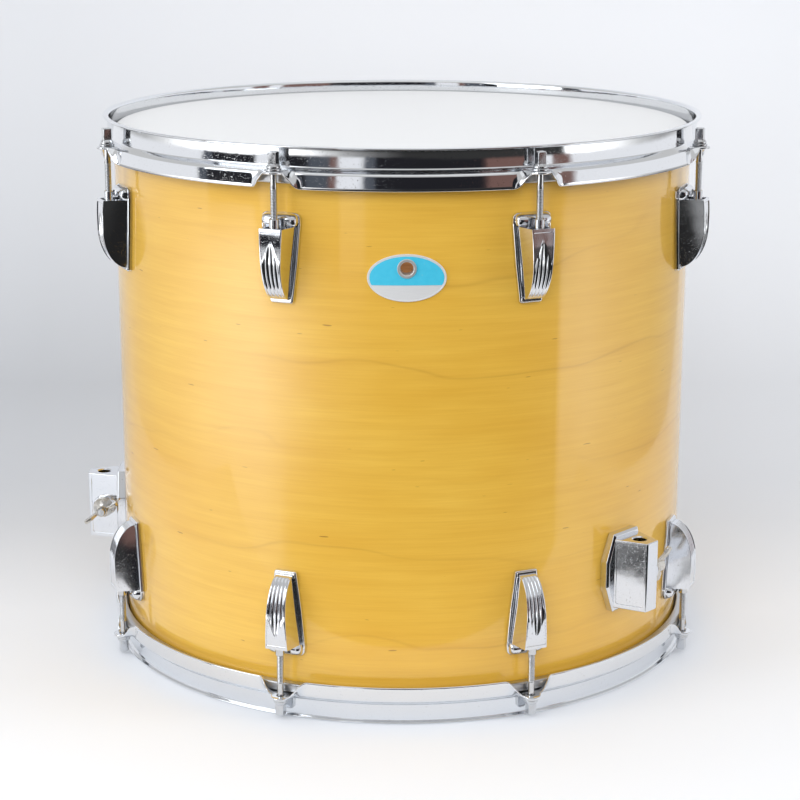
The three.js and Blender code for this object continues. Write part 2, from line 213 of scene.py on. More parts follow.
def lathe(name, section, count=192, crease=40):
    """Turns a closed section of (radius, height) pairs about Z. Points on the axis close the surface."""
    section = np.asarray(section, float)
    a = np.linspace(0, 2 * math.pi, count, endpoint=False)
    grid = np.stack([
        section[:, 0, None] * np.sin(a), -section[:, 0, None] * np.cos(a),
        np.repeat(section[:, 1, None], count, 1),
    ], 2)
    on_axis = section[0, 0] < 1e-9 and section[-1, 0] < 1e-9
    faces = grid_faces(len(section), count, not on_axis, True)
    return tidy(mesh_from(name, grid.reshape(-1, 3), faces, crease), crease)


def prism(name, outline, low, high, crease=40):
    """An outline of (x, y) pairs pulled up along Z."""
    flat = np.asarray(outline, float)
    loops = [np.column_stack([flat, np.full(len(flat), z)]) for z in (low, high)]
    return loft(name, loops, crease=crease)


def moved(mesh, matrix):
    """Applies a matrix whose lengths are in millimetres."""
    metres = matrix.copy()
    metres.translation = matrix.translation * MM
    mesh.transform(metres)
    return mesh


def bar(name, axis, radius, low, high, count=32):
    """A round bar with slightly eased ends."""
    ease = min(0.25, radius / 4)
    section = [(0, low), (radius - ease, low), (radius, low + ease), (radius, high - ease), (radius - ease, high), (0, high)]
    mesh = lathe(name, section, count)
    if axis == "x":
        moved(mesh, turn("Y", math.pi / 2))
    if axis == "y":
        moved(mesh, turn("X", -math.pi / 2))
    return mesh


def with_modifier(mesh, kind, **settings):
    """The mesh after one modifier."""
    carrier = bpy.data.objects.new("carrier", mesh)
    bpy.context.scene.collection.objects.link(carrier)
    modifier = carrier.modifiers.new(kind, kind)
    for key, value in settings.items():
        setattr(modifier, key, value)
    depsgraph = bpy.context.evaluated_depsgraph_get()
    result = bpy.data.meshes.new_from_object(carrier.evaluated_get(depsgraph))
    result.name = mesh.name
    bpy.data.objects.remove(carrier)
    return result


def bevelled(mesh, width, segments=3, angle=30, crease=50):
    result = with_modifier(
        mesh, "BEVEL", width=width * MM, segments=segments, limit_method="ANGLE",
        angle_limit=math.radians(angle), harden_normals=False,
    )
    shade(result, crease)
    return result


def combine(base, tool, operation, crease=35):
    """UNION or DIFFERENCE of two closed meshes."""
    other = bpy.data.objects.new("tool", tool)
    bpy.context.scene.collection.objects.link(other)
    result = with_modifier(base, "BOOLEAN", operation=operation, object=other, solver="EXACT")
    bpy.data.objects.remove(other)
    shade(result, crease)
    return result


def weighed(mesh):
    """The mesh with its normals weighed by face area, so that large flat faces reflect as flat ones."""
    return with_modifier(mesh, "WEIGHTED_NORMAL", keep_sharp=True)


def join(name, meshes, crease=40):
    """Several meshes as one, each still its own closed body."""
    verts, faces, start = [], [], 0
    for mesh in meshes:
        verts += [tuple(v.co / MM) for v in mesh.vertices]
        faces += [[start + i for i in p.vertices] for p in mesh.polygons]
        start = len(verts)
    return mesh_from(name, verts, faces, crease)


def copies(mesh, matrices):
    return [moved(mesh.copy(), m) for m in matrices]


def add_piece(name, mesh, body, material, replaces=(), matrix=None):
    """Puts a mesh in the scene on a CAD body. Every mesh keeps the drum's own coordinates, so no two wear alike."""
    if matrix is not None:
        mesh = moved(mesh.copy(), matrix)
    piece = bpy.data.objects.new(name, mesh)
    bpy.context.scene.collection.objects.link(piece)
    if material is not None:
        mesh.materials.clear()
        mesh.materials.append(material)
    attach(piece, body)
    if replaces:
        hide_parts(*replaces)
    return piece


# ---- materials ----

class Shader:
    """A node tree with short calls: add(kind, socket=value or another node's output)."""

    def __init__(self, name, world=False):
        self.owner = bpy.data.worlds.new(name) if world else bpy.data.materials.new(name)
        self.owner.use_nodes = True
        self.tree = self.owner.node_tree
        self.tree.nodes.clear()
        self.output = self.tree.nodes.new("ShaderNodeOutputWorld" if world else "ShaderNodeOutputMaterial")

    def add(self, kind, settings=None, **inputs):
        node = self.tree.nodes.new("ShaderNode" + kind)
        for key, value in (settings or {}).items():
            setattr(node, key, value)
        for key, value in inputs.items():
            socket = node.inputs[int(key[1:])] if key[0] == "i" and key[1:].isdigit() else node.inputs[key.replace("_", " ")]
            if isinstance(value, bpy.types.NodeSocket):
                self.tree.links.new(value, socket)
            else:
                socket.default_value = value
        return node

    def math(self, operation, a, b=0.0, clamp=False):
        return self.add("Math", {"operation": operation, "use_clamp": clamp}, i0=a, i1=b).outputs[0]

    def mix(self, share, a, b, blend="MIX"):
        node = self.add("MixRGB", {"blend_type": blend}, i0=share, i1=a, i2=b)
        return node.outputs[0]

    def ramp(self, value, stops):
        """A colour ramp through (position, colour or grey) stops."""
        node = self.add("ValToRGB", Fac=value)
        elements = node.color_ramp.elements
        while len(elements) < len(stops):
            elements.new(0.5)
        for element, (position, colour) in zip(elements, stops):
            element.position = position
            element.color = (*colour, 1) if isinstance(colour, tuple) else (colour, colour, colour, 1)
        return node.outputs[0]

    def noise(self, vector, scale, detail=3.0, roughness=0.5, distortion=0.0):
        node = self.add("TexNoise", None, Vector=vector, Scale=scale, Detail=detail, Roughness=roughness, Distortion=distortion)
        return node.outputs["Fac"]

    def stretched(self, vector, scale):
        return self.add("Mapping", None, Vector=vector, Scale=scale).outputs[0]

    def bump(self, height, strength, distance, normal=None):
        node = self.add("Bump", None, Height=height, Strength=strength, Distance=distance)
        if normal is not None:
            self.tree.links.new(normal, node.inputs["Normal"])
        return node.outputs[0]

    def finish(self, **inputs):
        principled = self.add("BsdfPrincipled", None, **inputs)
        self.tree.links.new(principled.outputs[0], self.output.inputs["Surface"])
        return self.owner

    def object_space(self):
        return self.add("TexCoord").outputs["Object"]


def colour(r, g, b):
    """An sRGB colour, 0 to 255, as linear RGBA."""
    def linear(c):
        c /= 255
        return c / 12.92 if c <= 0.04045 else ((c + 0.055) / 1.055) ** 2.4
    return (linear(r), linear(g), linear(b), 1.0)


def chrome_material(name, tint=(232, 234, 237), roughness=0.06, wear=0.25):
    """Bright plate with a faint haze, polishing waves and scattered pits."""
    s = Shader(name)
    at = s.object_space()
    haze = s.noise(at, 45.0, 4.0, 0.6)
    pits = s.ramp(s.noise(at, 900.0, 2.0, 0.7), [(0.0, 1.0), (0.30, 1.0), (0.34, 0.0), (1.0, 0.0)])
    rough = s.math("ADD", roughness, s.math("MULTIPLY", s.ramp(haze, [(0.45, 0.0), (0.75, 1.0)]), 0.12 * wear + 0.03))
    rough = s.math("ADD", rough, s.math("MULTIPLY", pits, 0.35 * wear))
    base = s.mix(s.math("MULTIPLY", pits, wear), colour(*tint), colour(92, 84, 76))
    wave = s.bump(s.noise(at, 70.0, 2.0), 0.05, 0.001)
    return s.finish(Base_Color=base, Metallic=1.0, Roughness=rough, Normal=s.bump(pits, 0.12, 0.0002, wave))


def steel_material(name, tint, roughness, aged=0.45, relief=0.18):
    """Duller plate with fine scratches along one direction and dark patches of age."""
    s = Shader(name)
    at = s.object_space()
    scratches = s.noise(at, 1400.0, 3.0, 0.7)
    age = s.ramp(s.noise(at, 160.0, 4.0, 0.65), [(0.42, 0.0), (0.72, 1.0)])
    base = s.mix(s.math("MULTIPLY", age, aged), colour(*tint), colour(112, 94, 70))
    rough = s.math("ADD", roughness, s.math("MULTIPLY", age, 0.18))
    return s.finish(Base_Color=base, Metallic=1.0, Roughness=rough, Normal=s.bump(scratches, relief, 0.0002))


def maple_material():
    """Figured maple veneer, its grain running round the shell, under amber gloss lacquer."""
    s = Shader("lacquered_maple")
    uv = s.add("TexCoord").outputs["UV"]  # metres round the shell and up it
    drift = s.noise(s.stretched(uv, (2.2, 5.0, 1)), 1.0, 3.0, 0.5)
    sway = s.noise(s.stretched(uv, (6.0, 16.0, 1)), 1.0, 2.0, 0.5)
    across = s.add("SeparateXYZ", None, Vector=uv).outputs[1]
    bent = s.math("ADD", across, s.math("MULTIPLY", drift, 0.22))
    bent = s.math("ADD", bent, s.math("MULTIPLY", sway, 0.025))
    rings = s.math("PINGPONG", s.math("MULTIPLY", bent, 26.0), 1.0)
    line = s.ramp(rings, [(0.0, 1.0), (0.045, 0.25), (0.22, 0.0), (1.0, 0.0)])
    patch = s.ramp(s.noise(s.stretched(uv, (3.0, 30.0, 1)), 1.0, 2.0), [(0.38, 0.0), (0.62, 1.0)])
    line = s.math("MULTIPLY", line, patch)
    fibre = s.noise(s.stretched(uv, (22.0, 900.0, 1)), 1.0, 4.0, 0.65)
    fibre_wide = s.noise(s.stretched(uv, (7.0, 160.0, 1)), 1.0, 3.0, 0.6)
    cloud = s.noise(s.stretched(uv, (5.0, 9.0, 1)), 1.0, 3.0, 0.55)
    fleck = s.noise(s.stretched(uv, (60.0, 420.0, 1)), 1.0, 1.0, 0.3)
    fleck = s.ramp(fleck, [(0.0, 1.0), (0.190, 1.0), (0.210, 0.0), (1.0, 0.0)])
    base = s.mix(s.ramp(cloud, [(0.3, 0.0), (0.7, 1.0)]), colour(230, 179, 63), colour(241, 196, 83))
    base = s.mix(s.math("MULTIPLY", s.ramp(fibre_wide, [(0.35, 0.0), (0.7, 1.0)]), 0.30), base, colour(212, 152, 44))
    base = s.mix(s.math("MULTIPLY", s.ramp(fibre, [(0.4, 0.0), (0.75, 1.0)]), 0.22), base, colour(206, 144, 42))
    base = s.mix(s.math("MULTIPLY", line, 0.30), base, colour(176, 112, 32))
    base = s.mix(s.math("MULTIPLY", fleck, 0.55), base, colour(128, 70, 24))
    swell = s.bump(s.noise(s.stretched(uv, (4.0, 14.0, 1)), 1.0, 2.0), 0.04, 0.002)
    return s.finish(
        Base_Color=base, Roughness=0.42, Specular_IOR_Level=0.4, Coat_Weight=1.0, Coat_Roughness=0.06,
        Coat_IOR=1.5, Coat_Normal=swell, Normal=s.bump(fibre, 0.05, 0.0003),
    )


def ply_material():
    """The bare inside and the cut edges of the shell."""
    s = Shader("bare_maple_ply")
    at = s.object_space()
    layers = s.noise(s.stretched(at, (30.0, 30.0, 600.0)), 1.0, 3.0, 0.6)
    base = s.mix(s.ramp(layers, [(0.3, 0.0), (0.7, 1.0)]), colour(196, 142, 84), colour(222, 176, 118))
    return s.finish(Base_Color=base, Roughness=0.6, Normal=s.bump(layers, 0.15, 0.0004))


def coated_film_material():
    """Polyester film with a sprayed white coating: fine tooth, faint stick marks and scuffs."""
    s = Shader("coated_film")
    at = s.object_space()
    tooth = s.noise(at, 2600.0, 2.0, 0.6)
    scuff = s.noise(s.stretched(at, (26.0, 60.0, 10.0)), 1.0, 5.0, 0.7, 0.8)
    marks = s.ramp(scuff, [(0.0, 0.0), (0.66, 0.0), (0.74, 1.0), (1.0, 1.0)])
    base = s.mix(s.math("MULTIPLY", marks, 0.10), colour(239, 239, 239), colour(190, 190, 194))
    return s.finish(
        Base_Color=base, Roughness=0.55, Subsurface_Weight=0.12, Subsurface_Radius=(0.004, 0.004, 0.004),
        Normal=s.bump(tooth, 0.25, 0.0003),
    )


def clear_film_material():
    """The lower head: hazy clear film that shows the dark inside of the drum."""
    s = Shader("clear_film")
    at = s.object_space()
    haze = s.noise(at, 30.0, 4.0, 0.6)
    base = s.mix(haze, colour(206, 208, 206), colour(226, 228, 226))
    return s.finish(Base_Color=base, Roughness=0.22, Specular_IOR_Level=0.6, Normal=s.bump(haze, 0.03, 0.001))


def aluminium_material(name, tint=(205, 206, 208), roughness=0.32, stretch=(2.0, 120.0, 2.0), metallic=1.0):
    """Drawn aluminium with fine lines along its length."""
    s = Shader(name)
    at = s.object_space()
    lines = s.noise(s.stretched(at, stretch), 60.0, 4.0, 0.7)
    base = s.mix(lines, colour(*tint), colour(*(c - 26 for c in tint)))
    return s.finish(Base_Color=base, Metallic=metallic, Roughness=roughness, Normal=s.bump(lines, 0.1, 0.0002))


def enamel_material():
    """Sky-blue enamel, a little uneven and chipped towards its edge."""
    s = Shader("badge_enamel")
    at = s.object_space()
    uneven = s.noise(at, 240.0, 3.0, 0.5)
    chips = s.ramp(s.noise(at, 700.0, 4.0, 0.75), [(0.0, 0.0), (0.66, 0.0), (0.70, 1.0), (1.0, 1.0)])
    base = s.mix(uneven, colour(64, 190, 224), colour(84, 206, 236))
    base = s.mix(s.math("MULTIPLY", chips, 0.6), base, colour(176, 186, 190))
    return s.finish(Base_Color=base, Roughness=0.28, Coat_Weight=0.6, Coat_Roughness=0.12, Normal=s.bump(chips, 0.2, 0.0002))


MAPLE = maple_material()
PLY = ply_material()
HOOP_CHROME = chrome_material("hoop_chrome", roughness=0.045, wear=0.20)
CAST_CHROME = chrome_material("cast_chrome", tint=(226, 228, 232), roughness=0.075, wear=0.4)
ROD_STEEL = steel_material("rod_steel", (214, 216, 219), 0.12, 0.12, 0.06)
SCREW_STEEL = steel_material("screw_steel", (178, 172, 158), 0.3)
NICKEL = steel_material("worn_nickel", (214, 210, 202), 0.18, 0.3, 0.08)
COATED_FILM = coated_film_material()
CLEAR_FILM = clear_film_material()
FLESH_ALUMINIUM = aluminium_material("flesh_aluminium")
BADGE_ALUMINIUM = aluminium_material("badge_aluminium", (240, 240, 240), 0.4, (2.0, 2.0, 160.0), 0.2)
EYELET_METAL = aluminium_material("eyelet_metal", (228, 228, 226), 0.3, (20.0, 20.0, 20.0), 0.6)
ENAMEL = enamel_material()


# ---- hoops ----

HOOP_SHEET = 1.9
HOOP_WALL_R = box_mm("batter_flesh_hoop")[1][0] - 4.25  # centre line of the upright wall
SKIRT_DEPTH = box_mm("batter_hoop")[1][2] - box_mm("batter_hoop")[0][2] - 9.4
EAR_REACH = 249.3
EAR_FLAT = 5.0  # half-width over which an ear is level
EAR_BLEND = 20.0  # from an ear's middle to where the skirt hangs straight again
SLOPE = math.radians(36.5)  # the shoulder's angle below level
BEND = 1.6


def hoop_centreline(s):
    """The sheet's centre line as (radius, drop) pairs at s mm along the rim from the nearest rod."""
    skirt = smooth((s - EAR_FLAT) / (EAR_BLEND - EAR_FLAT))
    wall = fillet(
        [(HOOP_WALL_R + 3.1, HOOP_SHEET / 2), (HOOP_WALL_R, HOOP_SHEET / 2), (HOOP_WALL_R, 15.2),
         (HOOP_WALL_R + 2.9, 15.2 + 2.9 * math.tan(SLOPE))],
        [0, 1.5, 2.6, 0], steps=5, closed=False,
    )
    leave = lerp(3.25, 4.85, skirt)  # how far out the bend starts
    start = np.array([HOOP_WALL_R + leave, 15.2 + leave * math.tan(SLOPE)])
    last = lerp(0.0, math.radians(88.5), skirt)
    angles = np.linspace(SLOPE, last, 7)
    turn_sign = 1 if last > SLOPE else -1
    steps = np.stack([np.sin(angles) - math.sin(SLOPE), math.cos(SLOPE) - np.cos(angles)], 1)
    arc = start + turn_sign * BEND * steps
    tip = ROD_R + math.sqrt(max(49.0 - s * s, 0)) - arc[-1][0]
    hanging = SKIRT_DEPTH - (arc[-1][1] - 10.6)
    length = lerp(tip, 7.6, smooth((s - 4.6) / 5.4)) if s < 10 else lerp(7.6, hanging, smooth((s - 10) / 10))
    direction = np.array([math.cos(last), math.sin(last)])
    straight = [arc[-1] + direction * length * t for t in np.linspace(0, 1, 6)[1:]]
    return np.vstack([wall, arc, straight])


def sheet_section(line, thickness, cap_steps=5):
    """A closed section of even thickness round a centre line, with round ends."""
    along = np.gradient(line, axis=0)
    along /= np.linalg.norm(along, axis=1)[:, None]
    side = np.stack([along[:, 1], -along[:, 0]], 1) * thickness / 2
    arcs = []
    for point, direction, normal in ((line[-1], along[-1], side[-1]), (line[0], -along[0], -side[0])):
        a = np.linspace(0, math.pi, cap_steps + 2)[1:-1]
        arcs.append(point + np.cos(a)[:, None] * normal + np.sin(a)[:, None] * direction * thickness / 2)
    return np.vstack([line + side, arcs[0], (line - side)[::-1], arcs[1]])


def hoop_mesh():
    fine = np.linspace(0, EAR_FLAT + 3, 15)
    middle = np.linspace(EAR_FLAT + 3, EAR_BLEND + 1, 15)[1:]
    sector = 2 * math.pi / len(POINTS)
    rest = np.linspace(EAR_BLEND + 1, sector * ROD_R / 2, 20)[1:]
    half = np.concatenate([fine, middle, rest])
    sections = [sheet_section(hoop_centreline(s), HOOP_SHEET) for s in half]
    offsets = np.concatenate([-half[:0:-1], half[:-1]])
    ordered = sections[:0:-1] + sections[:-1]
    loops = []
    for azimuth in ROD_AZIMUTHS:
        for offset, section in zip(offsets, ordered):
            a = azimuth + offset / ROD_R
            loops.append(np.stack([
                section[:, 0] * math.sin(a), -section[:, 0] * math.cos(a), RIM - section[:, 1]], 1))
    hoop = loft("hoop", loops, wrap=True, crease=55)
    drills = [
        moved(bar("drill", "z", 3.3, below(26), below(11), 24),
              turn("Z", a) @ Matrix.Translation((0, -ROD_R, 0)))
        for a in ROD_AZIMUTHS
    ]
    return combine(hoop, join("drills", drills), "DIFFERENCE", crease=55)


# ---- heads ----

def head_mesh():
    """The film: flat over the drum, bent over the bearing edge and down to the flesh hoop."""
    under = EDGE + 0.3
    film = 0.3
    outer_r = SHELL_R + 1.05
    top = [(0, under + film), (SHELL_R - 3.2, under + film), (outer_r, under - 3.0), (outer_r + 0.1, below(20))]
    inside = [(outer_r - 0.3, below(20)), (SHELL_R + 0.65, under - 3.2), (SHELL_R - 3.3, under), (0, under)]
    rounded_top = fillet(top, [0, 2.2, 1.6, 0], 6, closed=False)
    rounded_inside = fillet(inside, [0, 1.4, 2.0, 0], 6, closed=False)
    return lathe("head", np.vstack([rounded_top, rounded_inside]), 256, crease=60)


def flesh_hoop_mesh():
    low, high = [b[2] - MIDDLE for b in box_mm("batter_flesh_hoop")]
    inner, outer = SHELL_R + 1.5, box_mm("batter_flesh_hoop")[1][0]
    section = fillet(
        [(inner, low), (outer, low), (outer, high - 3.2), (outer - 4, high), (inner, high)],
        [0.8, 1.6, 0.8, 0.8, 0.8], 4,
    )
    return lathe("flesh_hoop", section, 192)


# ---- tension rods and their washers ----

THREAD_START = 28.6  # below the rim
THREAD_PITCH = 25.4 / 24
ROD_SHANK = 2.6
ROD_PLAIN = 2.3  # the rolled thread stands a little proud of the plain shank


def thread_radius(turns, core, crest):
    """A rounded V thread as a function of position in turns."""
    return lerp(core, crest, smooth(np.abs((turns % 1.0) * 2 - 1) * 1.25))


def threaded_bar(name, low, high, core, crest, pitch, count=16, rows_per_turn=5, taper_low=True):
    """A bar along Z with a helical thread, running out smoothly into a plain end above."""
    z = np.arange(low, high + pitch / rows_per_turn, pitch / rows_per_turn)
    z[-1] = high
    a = np.linspace(0, 2 * math.pi, count, endpoint=False)
    zz, aa = np.meshgrid(z, a, indexing="ij")
    r = thread_radius(zz / pitch - aa / (2 * math.pi), core, crest)
    r = lerp(r, crest, smooth((zz - high + 2 * pitch) / (2 * pitch)))
    if taper_low:
        r = np.minimum(r, core + (zz - low) * 0.9)
    grid = np.stack([r * np.cos(aa), r * np.sin(aa), zz], 2)
    return loft(name, grid, crease=70)


def rod_mesh():
    """The rod on its own axis, its heights measured from the drum's middle."""
    head_top = box_mm("batter_tension_rod_1")[1][2] - MIDDLE
    end = box_mm("batter_tension_rod_1")[0][2] - MIDDLE
    head_foot = head_top - 8.6
    collar_foot = head_foot - 3.1
    thread = threaded_bar("thread", end, below(THREAD_START), 2.1, ROD_SHANK, THREAD_PITCH)
    neck = fillet([
        (0, below(THREAD_START) - 0.6), (ROD_PLAIN, below(THREAD_START) - 0.6), (ROD_PLAIN, collar_foot),
        (5.0, collar_foot), (5.0, collar_foot + 1.4), (3.9, head_foot), (0, head_foot + 0.8),
    ], [0, 0.2, 0.4, 0.5, 0.7, 0.8, 0], 4, closed=False)
    body = lathe("neck", neck, 32, crease=50)
    side = 6.35 / 2
    square = prism("square", [(-side, -side), (side, -side), (side, side), (-side, side)], head_foot - 0.8, head_top)
    square = bevelled(square, 0.55, 3)
    crown = lathe("crown", [(0, head_foot - 2), (4.35, head_foot - 2), (4.35, head_top - 1.0), (3.2, head_top + 0.15), (0, head_top + 0.15)], 40)
    square = combine(square, crown, "INTERSECT")
    rod = combine(body, square, "UNION", crease=45)
    return combine(rod, thread, "UNION", crease=50)


def rod_washer_mesh():
    top = box_mm("batter_tension_rod_1")[1][2] - MIDDLE - 8.6 - 3.1
    section = fillet([(2.9, top - 1.75), (5.7, top - 1.75), (5.7, top - 0.15), (2.9, top - 0.15)], 0.35, 3)
    return lathe("rod_washer", section, 40)


# ---- lugs, drawn in wall coordinates with Y = 0 at the rod end ----

LUG_LENGTH = box_mm("batter_lug_1")[1][2] - box_mm("batter_lug_1")[0][2]
LUG_TOP = box_mm("batter_lug_1")[1][2] - MIDDLE
LUG_FRONT = 250.0
LUG_BASE = SEAT + 3.0
LUG_LIP = 9.5
PANEL_SINK = 0.5
FLUTE_DEPTH = 0.85
CASING_END = LUG_LENGTH - 2.6


def keystone(inset=0.0):
    """The base's outline, drawn in by an inset."""
    wide, narrow = 15.0 - inset, 8.7 - inset
    foot = -LUG_LENGTH + inset
    corners = [(-wide + 0.4, -inset), (wide - 0.4, -inset), (wide, -8.0), (wide - 2.6, -36.0), (narrow, foot),
               (-narrow, foot), (-wide + 2.6, -36.0), (-wide, -8.0)]
    return fillet(corners, [4.5, 4.5, 14, 60, 1.6, 1.6, 60, 14], 6)


def lug_base_mesh():
    """A curved plate with a raised border round a sunken floor."""
    levels = [
        (0.0, -6.0), (0.0, -0.7), (0.2, -0.25), (0.55, 0.0), (1.25, 0.05), (1.7, -0.2), (2.0, -0.8), (2.3, -1.0),
    ]
    loops = []
    for inset, rise in levels:
        flat = keystone(inset)
        radius = SEAT if rise < -5 else LUG_BASE + rise
        depth = np.sqrt(radius ** 2 - flat[:, 0] ** 2)
        loops.append(np.column_stack([flat, depth]))
    return loft("lug_base", loops, crease=50)


def lug_roll_mesh():
    """The half-round shoulder across the rod end, with rounded ends."""
    u = np.linspace(-1, 1, 33)
    a = np.linspace(0, math.pi, 21)
    loops = []
    for value in u:
        share = (1 - abs(value) ** 7 + 1e-4) ** 0.35
        y = -5.5 + 5.3 * share * np.cos(a)
        z = LUG_BASE - 1.6 + 7.2 * share * np.sin(a) ** 0.85 - 0.6 * value ** 2
        loops.append(np.column_stack([np.full(len(a), 14.1 * value), y, z]))
    return loft("lug_roll", loops, crease=70)


def casing_reach(t):
    """How far the fin's front stands from the drum's axis at a share t of its length from the mouth."""
    bend = 0.40
    straight = LUG_FRONT - 0.9 * (1 - np.clip(t / 0.25, 0, 1)) ** 2
    fall = np.clip((t - bend) / (1 - bend), 0, 1)
    curved = LUG_BASE - 0.8 + (LUG_FRONT - LUG_BASE + 0.8) * np.sqrt(np.maximum(1 - fall ** 2.1, 0))
    return np.where(t < bend, straight, curved)


def casing_mesh():
    """The fin: flat sides and a framed, sunken front panel with three ridges that start at points."""
    lip = 0.042  # share of the length
    t_rows = np.concatenate([
        [0, lip - 0.006, lip, lip + 0.004, lip + 0.010], np.linspace(0.07, 0.9, 60), 1 - 0.1 * np.linspace(0.97, 0, 12) ** 2])
    corner = 0.55
    border = 0.75
    a = np.linspace(0, math.pi / 2, 5)
    ridge = np.linspace(-1, 1, 65)
    loops = []
    for t in t_rows:
        half = lerp(8.9, 6.6, t)
        reach = float(casing_reach(t))
        low = max(reach - LUG_BASE + 2.5, 0.2)  # how far the front stands above the hidden foot
        r = min(corner, low * 0.5)
        flat = half - r
        panel = flat - border
        sunk = PANEL_SINK * smooth((t - lip) / 0.008) * smooth((1 - t) / 0.05)
        start = smooth((t - 0.11 - 0.34 * np.abs(ridge)) / 0.25)
        flutes = sunk + FLUTE_DEPTH * start * np.abs(np.sin(2 * math.pi * ridge)) ** 0.7 * smooth((1 - t) / 0.1)
        foot = LUG_BASE - 2.2
        foot_half = max(lerp(12.6, 6.7, t), half)
        flare = [(lerp(foot_half, half, k), lerp(foot, reach - r, k)) for k in np.linspace(0, 1, 5)]
        left = [(-x, z) for x, z in flare[:-1]]
        round_left = np.column_stack([-flat - r * np.cos(a), reach - r + r * np.sin(a)])
        round_right = np.column_stack([flat + r * np.sin(a), reach - r + r * np.cos(a)])
        right = flare[-2::-1]
        edge = panel + 0.18
        middle = np.vstack([[-edge, reach], np.column_stack([ridge * panel, reach - flutes]), [edge, reach]])
        section = np.vstack([left, round_left, middle, round_right, right])
        y = np.full(len(section), -lerp(LUG_LIP, CASING_END, t))
        loops.append(np.column_stack([section[:, 0], y, section[:, 1]]))
    return loft("lug_casing", loops, crease=32)


def pocket_mesh():
    """The hollow behind the mouth, where the swivel nut sits."""
    profile = fillet([
        (LUG_BASE + 3.4, -LUG_LIP + 6), (LUG_FRONT - 2.2, -LUG_LIP + 6), (LUG_FRONT - 2.2, -26.0),
        (LUG_FRONT - 6.5, -42.0), (LUG_BASE + 6, -50.0), (LUG_BASE + 3.4, -50.0),
    ], [0, 0, 4, 6, 2, 2], 4)
    half = 6.3
    mesh = prism("pocket", profile, -half, half)
    moved(mesh, turn("Y", -math.pi / 2))
    return bevelled(mesh, 1.2, 3)


def lug_mesh():
    bar_low, bar_high = -LUG_LENGTH + 0.9, -LUG_LENGTH + 4.6
    plate = prism("lug_end_bar", [(-7.9, bar_low), (7.9, bar_low), (7.9, bar_high), (-7.9, bar_high)], SEAT + 1, LUG_BASE + 0.7)
    lug = combine(lug_base_mesh(), lug_roll_mesh(), "UNION")
    lug = combine(lug, bevelled(plate, 0.5, 3), "UNION")
    lug = combine(lug, casing_mesh(), "UNION")
    return weighed(combine(lug, pocket_mesh(), "DIFFERENCE", crease=35))


def swivel_nut_mesh():
    """The threaded barrel in a lug, on the rod's axis."""
    section = fillet([
        (2.75, -26), (4.4, -26), (4.4, -18), (5.4, -18), (5.4, -13.6), (3.5, -13.6), (3.5, -3.4), (2.75, -3.4),
    ], [0.3, 0.5, 0.3, 0.5, 0.5, 0.3, 0.6, 0.3], 3)
    mesh = lathe("swivel_nut", section, 32)
    return moved(moved(mesh, turn("X", -math.pi / 2)), Matrix.Translation((0, 0, ROD_R)))


def nut_spring_mesh():
    """The coil that keeps a swivel nut from rattling, below the nut."""
    wire, coil, turns, steps = 0.45, 4.2, 5, 18
    count = turns * steps
    t = np.linspace(0, turns * 2 * math.pi, count)
    centre = np.column_stack([coil * np.cos(t), -27 - 13 * t / t[-1], ROD_R + coil * np.sin(t)])
    loops = []
    for point, angle in zip(centre, t):
        out = np.array([math.cos(angle), 0, math.sin(angle)])
        up = np.array([0, 1.0, 0])
        loops.append([point + wire * (math.cos(b) * out + math.sin(b) * up) for b in np.linspace(0, 2 * math.pi, 8, endpoint=False)])
    return loft("nut_spring", loops, crease=70)


# ---- screws inside the shell ----

def screw_mesh(reach):
    """A slotted round-head screw along Z in wall coordinates, its head inside the shell."""
    face = SHELL_IN - 1.2
    section = fillet(
        [(0, face - 3), (3.0, face - 2.9), (4.3, face - 1.4), (4.3, face), (2.1, face), (2.1, reach), (0, reach)],
        [0, 1.2, 1.0, 0.2, 0, 0.4, 0], 4, closed=False,
    )
    slot = prism("slot", [(-0.55, -5), (0.55, -5), (0.55, 5), (-0.55, 5)], face - 4, face - 1.7)
    return combine(lathe("screw", section, 28), slot, "DIFFERENCE")


def screw_washer_mesh():
    section = fillet([(2.3, SHELL_IN - 1.15), (5.6, SHELL_IN - 1.15), (5.6, SHELL_IN - 0.1), (2.3, SHELL_IN - 0.1)], 0.25, 3)
    return lathe("screw_washer", section, 28)


# ---- shell ----

SHELL_DRILL = 2.6
LUG_SCREWS = (10.5, 53.0)
BRACKET_SCREW_OFFSETS = (26.3, -26.3)


def lug_screw_matrices():
    return [
        end_matrix(end) @ wall_matrix(end_azimuth(end, azimuth), LUG_TOP - along)
        for end in ("batter", "resonant") for azimuth in ROD_AZIMUTHS for along in LUG_SCREWS
    ]


def bracket_matrix(place):
    point = BRACKET_PLACES[place]
    return wall_matrix(azimuth_of(point), point[2])


